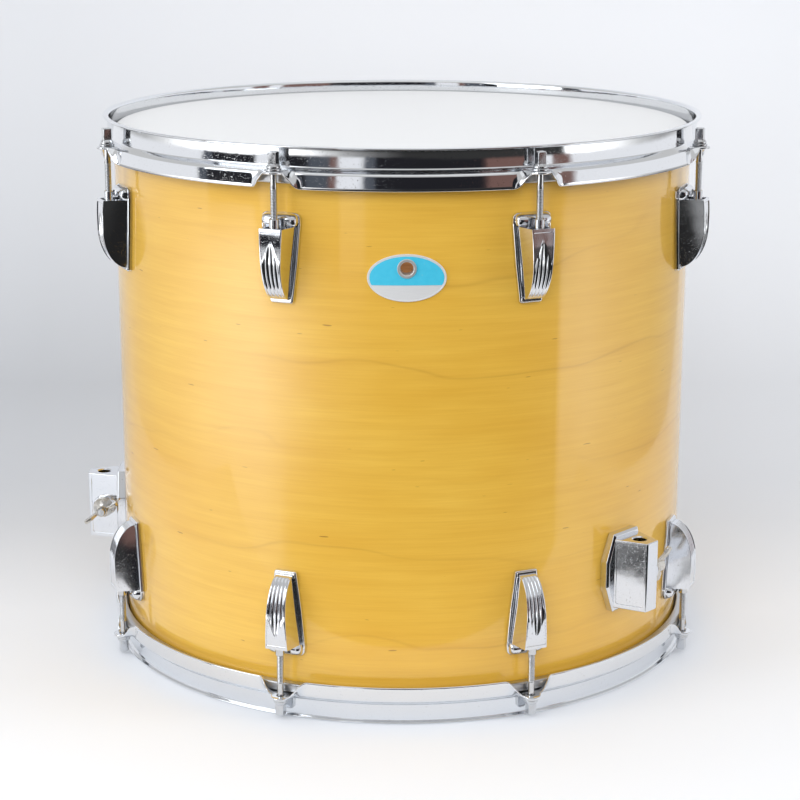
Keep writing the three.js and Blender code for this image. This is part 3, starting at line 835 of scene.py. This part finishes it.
def shell_mesh():
    """The ply tube with its two bearing edges, vent hole and screw holes, and lengths along it as UVs."""
    bevel = WALL / 2
    section = fillet([
        (SHELL_R, EDGE - bevel), (SHELL_R - bevel, EDGE), (SHELL_IN, EDGE - bevel),
        (SHELL_IN, bevel - EDGE), (SHELL_R - bevel, -EDGE), (SHELL_R, bevel - EDGE),
    ], [1.2, 0.5, 1.2, 1.2, 0.5, 1.2], 4)
    rows = []
    for i, point in enumerate(section):  # the long walls get extra rows
        after = section[(i + 1) % len(section)]
        cuts = 12 if abs(after[1] - point[1]) > EDGE else 1
        rows += [lerp(point, after, k / cuts) for k in range(cuts)]
    shell = moved(lathe("shell", rows, 256, crease=35), Matrix.Translation((0, 0, MIDDLE)))
    drill = bar("drill", "z", SHELL_DRILL, SHELL_IN - 5, SHELL_R + 5, 20)
    vent = bar("vent_drill", "z", VENT_BARREL + 0.2, SHELL_IN - 5, SHELL_R + 5, 32)
    matrices = lug_screw_matrices()
    for place in BRACKETS:
        matrices += [bracket_matrix(place) @ Matrix.Translation((0, offset, 0)) for offset in BRACKET_SCREW_OFFSETS]
    drills = copies(drill, matrices) + [moved(vent, wall_matrix(0, VENT_Z))]
    shell = combine(shell, join("shell_drills", drills), "DIFFERENCE", crease=35)
    paint_shell(shell)
    return shell


def paint_shell(mesh):
    """UVs in metres round and up the shell, and the bare ply material on all but the outer face."""
    mesh.materials.clear()
    mesh.materials.append(MAPLE)
    mesh.materials.append(PLY)
    layer = mesh.uv_layers.new(name="round_and_up")
    radius = SHELL_R * MM
    for polygon in mesh.polygons:
        centre = polygon.center
        outward = Vector((centre.x, centre.y, 0)).normalized()
        polygon.material_index = 0 if polygon.normal.dot(outward) > 0.6 else 1
        middle = azimuth_of(centre)  # the seam is at the back
        for index in polygon.loop_indices:
            co = mesh.vertices[mesh.loops[index].vertex_index].co
            angle = azimuth_of(co)
            angle += 2 * math.pi * round((middle - angle) / (2 * math.pi))
            layer.data[index].uv = (angle * radius, co.z)


# ---- leg brackets ----

FLANGE_FRONT = 235.2
BODY_FRONT = 259.7
BODY_ROOT = 14.6  # half the body's width at the flange
BODY_NOSE = 6.5  # and at its front
BODY_TALL = 54.4
BODY_WALL = 1.8
BODY_END_WALL = 4.9
BOSS_FACE = 13.4  # from the bracket's middle to the face that the wing nut bears on
BOSS_RADIUS = 8.6
LEG_BORE = 5.2


def octagon(inset=0.0):
    w, h, cw, ch = 22.5 - inset, 31 - inset, 14.2 - 0.6 * inset, 10 - 0.4 * inset
    return [(w, -ch), (w, ch), (cw, h), (-cw, h), (-w, ch), (-w, -ch), (-cw, -h), (cw, -h)]


def flange_mesh():
    """The octagonal plate: flat in front with a broad bevel, curved behind to sit on the shell."""
    levels = [(0.0, None), (0.0, -2.0), (0.3, -1.3), (1.6, -0.25), (2.1, 0.0)]
    loops = []
    for inset, rise in levels:
        flat = fillet(octagon(inset), 1.2, 4)
        if rise is None:
            depth = np.sqrt(SEAT ** 2 - flat[:, 0] ** 2)
        else:
            depth = np.full(len(flat), FLANGE_FRONT + rise)
        loops.append(np.column_stack([flat, depth]))
    return loft("flange", loops, crease=28)


def body_plan(inset, back):
    """The body seen along Y as (across, out): straight as far as the flange, then narrowing to its front."""
    root, nose, front = BODY_ROOT - inset, BODY_NOSE - 0.7 * inset, BODY_FRONT - inset
    return [(-root, back), (root, back), (root, FLANGE_FRONT), (nose, front), (-nose, front), (-root, FLANGE_FRONT)]


def upright(mesh):
    """Turns a prism drawn in plan as (across, out) so that it stands along Y."""
    return moved(mesh, turn("X", math.pi / 2))


def side_panel(side):
    """The shallow pocket that leaves a raised frame round one sloping side of the body."""
    slope = math.atan2(BODY_ROOT - BODY_NOSE, BODY_FRONT - FLANGE_FRONT)
    length = math.hypot(BODY_ROOT - BODY_NOSE, BODY_FRONT - FLANGE_FRONT)
    tall = BODY_TALL / 2 - PANEL_FRAME_ENDS
    outline = fillet([(-tall, 1.2), (tall, 1.2), (tall, length - 2.6), (-tall, length - 2.6)], 2.0, 4)
    pocket = bevelled(prism("panel", outline, -PANEL_POCKET, 2), 0.3, 2)
    out = np.array([-side * math.sin(slope), 0, math.cos(slope)])
    away = np.array([side * math.cos(slope), 0, math.sin(slope)])
    start = (side * BODY_ROOT, 0, FLANGE_FRONT)
    place = Matrix([[0, out[0], away[0], start[0]], [1, 0, 0, 0], [0, out[2], away[2], start[2]], [0, 0, 0, 1]])
    return tidy(moved(pocket, place))


PANEL_POCKET = 0.55
PANEL_FRAME_ENDS = 3.4


def bracket_mesh():
    half = BODY_TALL / 2
    outer = prism("body", fillet(body_plan(0, SEAT + 2), [0, 0, 0, 1.8, 1.8, 0], 5), -half, half)
    outer = bevelled(upright(outer), 0.9, 4, angle=50)
    bracket = combine(flange_mesh(), outer, "UNION")
    for side in (-1, 1):
        bracket = combine(bracket, side_panel(side), "DIFFERENCE")
    at_leg = Matrix.Translation((0, 0, LEG_R))
    boss = bevelled(bar("boss", "x", BOSS_RADIUS, 2.0, BOSS_FACE, 48), 0.5, 3)
    bracket = combine(bracket, moved(boss, at_leg), "UNION")
    hollow_half = half - BODY_END_WALL
    hollow = upright(prism("hollow", body_plan(BODY_WALL, SEAT - 9), -hollow_half, hollow_half))
    bracket = combine(bracket, hollow, "DIFFERENCE")
    mouth = lathe("mouth", [
        (0, half - 0.9), (LEG_BORE, half - 0.9), (LEG_BORE + 1, half), (LEG_BORE + 1, half + 1), (0, half + 1)], 48)
    for flip in (0, math.pi):
        cone = moved(mouth.copy(), at_leg @ turn("X", flip - math.pi / 2))
        bracket = combine(bracket, cone, "DIFFERENCE")
    socket = bar("socket", "y", LEG_BORE, -40, 40, 48)
    bracket = combine(bracket, moved(socket, at_leg), "DIFFERENCE")
    bolt = moved(bar("bolt_hole", "x", 3.5, 0, BOSS_FACE + 5), at_leg)
    return weighed(combine(bracket, bolt, "DIFFERENCE", crease=35))


BOLT_END = 30.5  # from the leg's axis
NUT_START = BOSS_FACE + 0.3
NUT_END = NUT_START + 14.0


def eyebolt_mesh():
    """A flat eye that the leg passes through, and a threaded shank along X."""
    eye = moved(lathe("eye", fillet([(5.3, -4.5), (6.9, -4.5), (6.9, 4.5), (5.3, 4.5)], 0.5, 3), 48), turn("X", -math.pi / 2))
    thread = threaded_bar("shank", 0.1 - BOLT_END, -8.0, 2.55, 3.0, 1.27, 20, 6)
    plain = lathe("plain", [(0, -9), (3.0, -9), (3.0, -6.1), (0, -6.1)], 32)
    shank = combine(thread, plain, "UNION")
    moved(shank, turn("Y", -math.pi / 2))
    bolt = combine(eye, shank, "UNION", crease=45)
    return moved(bolt, Matrix.Translation((0, 0, LEG_R)))


def wing_mesh(name):
    """One wing of a wing nut: a thick rounded blade that leans out from the hub."""
    outline = fillet([
        (4.4, 3.6), (13.0, 11.2), (15.2, 15.8), (19.5, 15.8), (18.8, 9.0), (13.4, 3.6),
    ], [0.5, 2.5, 1.8, 2.6, 3.0, 0.5], 5) + np.array([NUT_START, 0])
    centre = outline.mean(0)
    loops = []
    for height, shrink in ((-1.25, 0.90), (-1.15, 0.965), (-0.8, 1.0), (0.8, 1.0), (1.15, 0.965), (1.25, 0.90)):
        flat = centre + (outline - centre) * shrink
        swell = 0.75 + 0.45 * smooth((flat[:, 1] - 3) / 12)
        loops.append(np.column_stack([flat, height * swell]))
    return loft(name, loops, crease=60)


def wing_nut_mesh():
    section = fillet([
        (3.25, NUT_START), (8.2, NUT_START), (8.2, NUT_START + 2.0), (6.8, NUT_START + 4.6),
        (5.4, NUT_START + 9.0), (4.6, NUT_END), (3.25, NUT_END),
    ], [0.2, 0.5, 1.2, 1.6, 3, 0.6, 0.4], 4)
    nut = moved(lathe("nut_hub", section, 48), turn("Y", math.pi / 2))
    for flip in (0, math.pi):
        nut = combine(nut, moved(wing_mesh("wing"), turn("X", flip)), "UNION", crease=45)
    bore = bar("bore", "x", 3.25, 5, 40, 32)
    return combine(nut, bore, "DIFFERENCE", crease=45)


# ---- badge and vent ----

BADGE_HALF = (28.0, 17.0)
VENT_FLANGE = 6.9
VENT_BARREL = 5.6
VENT_HOLE = 4.7


def filled_plate(name, outline, rings, back, front, centre):
    """A plate wrapped on the shell whose face is a fan of rings, so that it stays curved."""
    loops = []
    for share in np.linspace(0.02, 1, rings):
        flat = centre + (outline - centre) * share
        loops.append(np.column_stack([flat, np.sqrt(back ** 2 - flat[:, 0] ** 2)]))
    for share in np.linspace(1, 0.02, rings):
        flat = centre + (outline - centre) * share
        loops.append(np.column_stack([flat, np.sqrt(front ** 2 - flat[:, 0] ** 2)]))
    return loft(name, loops, crease=45)


def badge_meshes():
    """The aluminium plate with its raised border, and the enamel field in its upper part."""
    drop = VENT_Z - BADGE_Z
    hole = moved(bar("hole", "z", VENT_BARREL + 0.2, SHELL_R - 8, SHELL_R + 8, 40), Matrix.Translation((0, drop, 0)))
    oval = ellipse(*BADGE_HALF, 120)
    plate = filled_plate("badge_plate", oval, 12, SEAT, SEAT + 0.75, np.zeros(2))
    border = []
    for inset, radius in ((0.0, SEAT + 0.5), (0.0, SEAT + 0.85), (0.15, SEAT + 1.0), (0.9, SEAT + 1.0), (1.1, SEAT + 0.8), (1.1, SEAT + 0.5)):
        flat = ellipse(BADGE_HALF[0] - inset, BADGE_HALF[1] - inset, 120)
        border.append(np.column_stack([flat, np.sqrt(radius ** 2 - flat[:, 0] ** 2)]))
    plate = combine(plate, loft("badge_border", border, wrap=True, crease=45), "UNION")
    plate = combine(plate, hole, "DIFFERENCE")
    divide = -5.2
    field = ellipse(BADGE_HALF[0] - 1.7, BADGE_HALF[1] - 1.7, 120)
    field[:, 1] = np.maximum(field[:, 1], divide)
    field_mesh = filled_plate("badge_field", field, 12, SEAT + 0.85, SEAT + 0.98, np.array([0, 3.0]))
    field_mesh = combine(field_mesh, hole.copy(), "DIFFERENCE")
    return plate, field_mesh


def grommet_mesh():
    outer = SEAT + 1.3
    inner = SHELL_IN - 1.2
    section = fillet([
        (VENT_HOLE, inner - 1), (VENT_FLANGE, inner - 1), (VENT_FLANGE, inner - 0.1), (VENT_BARREL, inner - 0.1),
        (VENT_BARREL, outer), (VENT_FLANGE, outer), (VENT_FLANGE, outer + 0.85), (VENT_HOLE, outer + 0.85),
    ], [0.3, 0.3, 0.1, 0, 0, 0.2, 0.7, 0.8], 5)
    return lathe("grommet", section, 48)


# ---- assembly ----

def build_ends():
    hoop, film, flesh = hoop_mesh(), head_mesh(), flesh_hoop_mesh()
    rod, washer, lug = rod_mesh(), rod_washer_mesh(), lug_mesh()
    for end, hoop_body, film_material, film_slot in (
        ("batter", "batter_hoop", COATED_FILM, "coated_film"),
        ("resonant", "resonant_hoop", CLEAR_FILM, "clear_film"),
    ):
        place = end_matrix(end)
        add_piece(f"{end}_counter_hoop", hoop, hoop_body, HOOP_CHROME, [f"{end}_hoop"], place)
        add_piece(f"{end}_film", film.copy(), SHELL_BODY, film_material, [f"{end}_head"], place)
        add_piece(f"{end}_flesh_ring", flesh, SHELL_BODY, FLESH_ALUMINIUM, [f"{end}_flesh_hoop"], place)
        spots = []
        for k, azimuth in zip(POINTS, ROD_AZIMUTHS):
            local = end_azimuth(end, azimuth)
            spot = place @ turn("Z", local) @ Matrix.Translation((0, -ROD_R, 0))
            spots.append(spot)
            name = f"{end}_tension_rod_{k}"
            add_piece(f"{end}_rod_{k}", rod, name, ROD_STEEL, [name], spot)
            name = f"{end}_lug_{k}"
            add_piece(f"{end}_lug_casting_{k}", lug, SHELL_BODY, CAST_CHROME, [name],
                      place @ wall_matrix(local, LUG_TOP))
        washers = join(f"{end}_rod_washers", copies(washer, spots))
        add_piece(f"{end}_rod_washers", washers, hoop_body, ROD_STEEL)


def build_lug_insides():
    places = [end_matrix(end) @ wall_matrix(end_azimuth(end, a), LUG_TOP) for end in ("batter", "resonant") for a in ROD_AZIMUTHS]
    screws = lug_screw_matrices()
    add_piece("swivel_nuts", join("swivel_nuts", copies(swivel_nut_mesh(), places)), SHELL_BODY, ROD_STEEL)
    add_piece("nut_springs", join("nut_springs", copies(nut_spring_mesh(), places)), SHELL_BODY, SCREW_STEEL)
    add_piece("lug_screws", join("lug_screws", copies(screw_mesh(SEAT + 1.5), screws)), SHELL_BODY, SCREW_STEEL)
    add_piece("lug_screw_washers", join("lug_screw_washers", copies(screw_washer_mesh(), screws)), SHELL_BODY, SCREW_STEEL)


def build_brackets():
    bracket, eyebolt, nut = bracket_mesh(), eyebolt_mesh(), wing_nut_mesh()
    screw, washer = screw_mesh(SEAT + 3.8), screw_washer_mesh()
    washers = []
    for place in BRACKETS:
        at = bracket_matrix(place)
        add_piece(f"{place}_leg_casting", bracket, SHELL_BODY, CAST_CHROME, [f"leg_bracket_{place}"], at)
        add_piece(f"{place}_eyebolt", eyebolt, f"leg_eyebolt_{place}", ROD_STEEL, [f"leg_eyebolt_{place}"], at)
        spin = Matrix.Translation((0, 0, LEG_R)) @ turn("X", WING_TURN[place])
        add_piece(f"{place}_wing_nut", nut, f"leg_wing_nut_{place}", NICKEL, [f"leg_wing_nut_{place}"], at @ spin)
        for level, offset in zip(("upper", "lower"), BRACKET_SCREW_OFFSETS):
            spot = at @ Matrix.Translation((0, offset, 0))
            add_piece(f"{place}_{level}_bracket_screw", screw, SHELL_BODY, SCREW_STEEL,
                      [f"bracket_screw_{place}_{level}"], spot)
            washers.append(spot)
    add_piece("bracket_screw_washers", join("bracket_screw_washers", copies(washer, washers)), SHELL_BODY, SCREW_STEEL)


WING_TURN = {"right": math.radians(21), "left": math.radians(-58), "rear": math.radians(40)}


def build_shell_and_badge():
    add_piece("maple_shell", shell_mesh(), SHELL_BODY, None, ["shell"])
    plate, field = badge_meshes()
    at = wall_matrix(0, BADGE_Z)
    add_piece("badge_plate", plate, SHELL_BODY, BADGE_ALUMINIUM, ["badge"], at)
    add_piece("badge_field", field, SHELL_BODY, ENAMEL, (), at)
    add_piece("vent_eyelet", grommet_mesh(), SHELL_BODY, EYELET_METAL, ["vent_grommet"], wall_matrix(0, VENT_Z))


# ---- stage, light and camera ----

PAPER_FRONT = -0.375  # metres from the drum's axis
PAPER_BEND = 0.40  # where the paper starts to rise behind the drum
PAPER_BEND_RADIUS = 0.50
PAPER_TOP = 1.6
PAPER_SIDE = 0.75
FLOOR_HALF = 2.0
FLOOR_FADE = (0.35, 0.85)  # shares of the half over which it fades out
FLOOR_GREY = 0.88
# Painted shade on the paper: grey levels along its depth and height, darkest where it starts to rise behind the drum.
PAPER_LEFT_PAINTED_SHADE = [(0.0, 247), (0.20, 240), (0.30, 214), (0.46, 193), (0.60, 214), (0.74, 233)]
PAPER_RIGHT_PAINTED_SHADE = [(0.0, 247), (0.20, 243), (0.30, 229), (0.46, 225), (0.60, 240), (0.74, 250)]


def clear_from_behind(s):
    """An alpha that lets only the camera see through the back of a sheet."""
    behind = s.add("NewGeometry").outputs["Backfacing"]
    return s.math("SUBTRACT", 1.0, s.math("MULTIPLY", behind, s.add("LightPath").outputs["Is Camera Ray"]))


def paper_material():
    """Pale paper with painted shade: darker on the left where it curves up behind the drum, and a little darker there
    on the right too.
    """
    s = Shader("paper")
    at = s.object_space()
    side, depth, height = s.add("SeparateXYZ", None, Vector=at).outputs
    along = s.math("MULTIPLY", s.math("ADD", s.math("ADD", depth, height), 0.5), 0.4)
    # These tones are painted shade, not the paper's own colour.
    painted_shade_tones = [s.ramp(along, [(t, colour(grey - 2, grey, grey + 4)[:3]) for t, grey in stops])
             for stops in (PAPER_LEFT_PAINTED_SHADE, PAPER_RIGHT_PAINTED_SHADE)]
    across = s.ramp(s.math("ADD", side, 0.5), [(0.1, 0.0), (0.9, 1.0)])
    fibre = s.noise(at, 300.0, 3.0)
    return s.finish(
        Base_Color=s.mix(across, *painted_shade_tones), Roughness=0.8, Specular_IOR_Level=0.2,
        Normal=s.bump(fibre, 0.02, 0.0005), Alpha=clear_from_behind(s),
    )


def floor_material():
    """A pale floor that fades into the backdrop away from the drum."""
    s = Shader("floor")
    at = s.object_space()
    speckle = s.ramp(s.noise(at, 250.0, 3.0), [(0.3, FLOOR_GREY - 0.01), (0.7, FLOOR_GREY + 0.01)])
    distance = s.add("VectorMath", {"operation": "LENGTH"}, i0=at).outputs["Value"]
    solid = s.ramp(s.math("DIVIDE", distance, FLOOR_HALF), [(FLOOR_FADE[0], 1.0), (FLOOR_FADE[1], 0.0)])
    alpha = s.math("MULTIPLY", solid, clear_from_behind(s))
    return s.finish(Base_Color=speckle, Roughness=0.8, Specular_IOR_Level=0.2, Alpha=alpha)


def stage_sheet(name, verts, faces, material):
    mesh = bpy.data.meshes.new(name)
    mesh.from_pydata(verts, [], faces)
    mesh.polygons.foreach_set("use_smooth", [True] * len(faces))
    mesh.materials.append(material)
    sheet = bpy.data.objects.new(name, mesh)
    bpy.context.scene.collection.objects.link(sheet)
    return sheet


def build_stage():
    """A sheet of paper that lies under the drum and curves up behind it, on a wide pale floor.

    The camera sees through the back of both, and only the camera sees the floor.
    """
    floor_z = RIM_FOOT * MM
    rows = [(PAPER_FRONT, 0.0), (PAPER_BEND, 0.0)]
    for a in np.linspace(0.08, math.pi / 2, 16):
        rows.append((PAPER_BEND + PAPER_BEND_RADIUS * math.sin(a), PAPER_BEND_RADIUS * (1 - math.cos(a))))
    rows.append((PAPER_BEND + PAPER_BEND_RADIUS, PAPER_TOP))
    verts = [(x, y, floor_z + z) for y, z in rows for x in (-PAPER_SIDE, PAPER_SIDE)]
    faces = [(2 * i, 2 * i + 1, 2 * i + 3, 2 * i + 2) for i in range(len(rows) - 1)]
    stage_sheet("paper_sweep", verts, faces, paper_material())
    below = floor_z - 1 * MM
    corners = [(-FLOOR_HALF, -FLOOR_HALF), (FLOOR_HALF, -FLOOR_HALF), (FLOOR_HALF, FLOOR_HALF), (-FLOOR_HALF, FLOOR_HALF)]
    floor = stage_sheet("floor", [(x, y, below) for x, y in corners], [(0, 1, 2, 3)], floor_material())
    floor.visible_diffuse = False
    floor.visible_glossy = False
    floor.visible_transmission = False
    floor.visible_shadow = False


def area_light(name, location, target, size, power, tint=(1, 1, 1)):
    light = bpy.data.lights.new(name, "AREA")
    light.shape = "RECTANGLE"
    light.size, light.size_y = size
    light.energy = power
    light.color = tint
    obj = bpy.data.objects.new(name, light)
    bpy.context.scene.collection.objects.link(obj)
    obj.location = location
    obj.rotation_euler = (Vector(target) - Vector(location)).to_track_quat("-Z", "Y").to_euler()
    return obj


WHITE_WALL = (0.92, 0.93, 0.96)
DARK = (0.018, 0.018, 0.022)
GREY = (0.09, 0.10, 0.12)
BROWN = (0.20, 0.115, 0.10)
ROOM = [  # what the chrome sees of the room in front, from each azimuth in degrees up to the next
    (-180, WHITE_WALL), (-81, GREY), (-76, DARK), (-57, WHITE_WALL), (-51, DARK), (-36, GREY), (-27, BROWN),
    (-24, WHITE_WALL), (-15, GREY), (-10, DARK), (30, BROWN), (51, WHITE_WALL), (57, BROWN), (65, WHITE_WALL),
]
ROOM_EDGE = 0.6  # degrees over which one patch turns into the next
GLOW = [  # brightness low in the room: a big soft lamp on the left, a sharp-edged one on the right
    (-180, 0.9), (-130, 0.5), (-116, 0.55), (-104, 0.9), (-93, 1.5), (-79, 2.7), (-68, 3.6), (-58, 4.0), (-48, 3.0),
    (-40, 1.9), (-33, 1.1), (-23, 0.5), (-10, 0.15), (0, 0.04), (62, 0.04), (64, 2.1), (76, 2.2), (88, 1.3),
    (101, 0.7), (116, 0.4), (140, 0.5), (180, 0.9),
]
FLOOR_GLOW = [  # the same on the room's floor, in front of the paper
    (-180, 0.3), (-130, 0.15), (-104, 0.3), (-93, 0.5), (-79, 0.9), (-68, 1.3), (-58, 1.6), (-51, 1.3), (-45.5, 0.1),
    (-40, 0.02), (62, 0.02), (64, 0.7), (76, 0.7), (101, 0.25), (116, 0.15), (180, 0.3),
]
GLOW_PEAK = 5.0
GLOW_TOP = -0.18  # sine of the elevation below which the glow begins
GLOW_LIFT = [(-60, 0.03), (-54, 0.0), (0, 0.0), (20, 0.03)]  # it begins higher than that on both sides
GLOW_BLEND = 0.03
FLOOR_TOP = -0.25  # sine of the elevation below which the room's floor begins
FLOOR_BLEND = 0.06
CEILING = 0.62
BACKDROP = 0.82


def turn_share(azimuth):
    """An azimuth in degrees as a share of the full turn from -180 to 180."""
    return azimuth / 360 + 0.5


def room_world():
    """A white studio that is open to a darker room on the camera's side."""
    s = Shader("studio", world=True)
    ray = s.add("TexCoord").outputs["Generated"]
    x, y, z = s.add("SeparateXYZ", None, Vector=ray).outputs
    azimuth = s.math("ARCTAN2", x, s.math("MULTIPLY", y, -1.0))
    share = s.math("ADD", s.math("DIVIDE", azimuth, 2 * math.pi), 0.5)
    stops = []
    for (start, tone), following in zip(ROOM, ROOM[1:] + [(180, None)]):
        stops.append((turn_share(start), tone))
        stops.append((turn_share(following[0] - ROOM_EDGE), tone))
    room = s.ramp(share, stops)
    low_glow, floor_glow = [
        s.ramp(share, [(turn_share(angle), level / GLOW_PEAK) for angle, level in levels]) for levels in (GLOW, FLOOR_GLOW)
    ]
    lowest = s.ramp(s.math("ADD", z, 0.5), [(0.5 + FLOOR_TOP - FLOOR_BLEND, 1.0), (0.5 + FLOOR_TOP, 0.0)])
    glow = s.mix(lowest, low_glow, floor_glow)
    glow = s.mix(1.0, glow, (GLOW_PEAK, GLOW_PEAK, GLOW_PEAK, 1), "MULTIPLY")
    lift = s.ramp(share, [(turn_share(angle), amount) for angle, amount in GLOW_LIFT])
    above = s.math("ADD", s.math("SUBTRACT", z, lift), 0.5)
    low = s.ramp(above, [(0.5 + GLOW_TOP - GLOW_BLEND, 1.0), (0.5 + GLOW_TOP, 0.0)])
    room = s.mix(low, room, glow)
    high = s.ramp(z, [(0.30, 0.0), (0.42, 1.0)])
    view = s.mix(high, room, (CEILING, CEILING, CEILING, 1))
    seen = s.add("LightPath").outputs["Is Camera Ray"]  # past the paper's edge the camera sees only a pale wall
    view = s.mix(seen, view, (BACKDROP, BACKDROP, BACKDROP, 1))
    background = s.add("Background", None, Color=view, Strength=1.0)
    s.tree.links.new(background.outputs[0], s.output.inputs["Surface"])
    return s.owner


COOL_LIGHT = (0.94, 0.97, 1.0)


def inside_light():
    """The little light that comes through the heads, which shows the wood behind the vent."""
    light = bpy.data.lights.new("through_heads", "POINT")
    light.energy = 0.35
    light.shadow_soft_size = 0.05
    obj = bpy.data.objects.new("through_heads", light)
    bpy.context.scene.collection.objects.link(obj)
    obj.location = (0, 0, MIDDLE * MM)
    obj.visible_camera = False


def build_light():
    bpy.context.scene.world = room_world()
    inside_light()
    middle = (0, 0, MIDDLE * MM)
    area_light("left_softbox", (-1.8, -1.1, 1.1), middle, (1.3, 1.6), 15, COOL_LIGHT)
    area_light("top_softbox", (0.0, -0.1, 2.2), middle, (2.0, 2.0), 3.6, COOL_LIGHT)
    # The fills light the drum and the paper from dark parts of the room without showing in the chrome.
    front = area_light("front_fill", (-0.3, -2.3, 1.2), middle, (2.0, 1.6), 34, COOL_LIGHT)
    right = area_light("right_fill", (2.3, -0.4, 1.3), (0.6, 0.6, 0.25), (1.2, 1.6), 14, COOL_LIGHT)
    for fill in (front, right):
        fill.visible_glossy = False


CAMERA_DISTANCE = 1653.9
CAMERA_HEIGHT = 614.2  # above the lower rim
CAMERA_AZIMUTH = math.radians(-0.87)
CAMERA_PITCH = math.radians(14.50)
CAMERA_YAW = math.radians(0.05)
CAMERA_ROLL = math.radians(0.07)
CAMERA_FIELD = math.radians(21.88)


def build_camera():
    data = bpy.data.cameras.new("camera")
    data.sensor_fit = "HORIZONTAL"
    data.angle = CAMERA_FIELD
    data.clip_end = 50
    camera = bpy.data.objects.new("camera", data)
    bpy.context.scene.collection.objects.link(camera)
    stand = Matrix.Translation((
        CAMERA_DISTANCE * MM * math.sin(CAMERA_AZIMUTH), -CAMERA_DISTANCE * MM * math.cos(CAMERA_AZIMUTH),
        (RIM_FOOT + CAMERA_HEIGHT) * MM,
    ))
    aim = turn("Z", CAMERA_AZIMUTH + CAMERA_YAW) @ turn("X", math.pi / 2 - CAMERA_PITCH) @ turn("Z", CAMERA_ROLL)
    camera.matrix_world = stand @ aim
    bpy.context.scene.camera = camera


build_shell_and_badge()
build_ends()
build_lug_insides()
build_brackets()
build_stage()
build_light()
build_camera()
bpy.context.scene.view_settings.view_transform = "Standard"
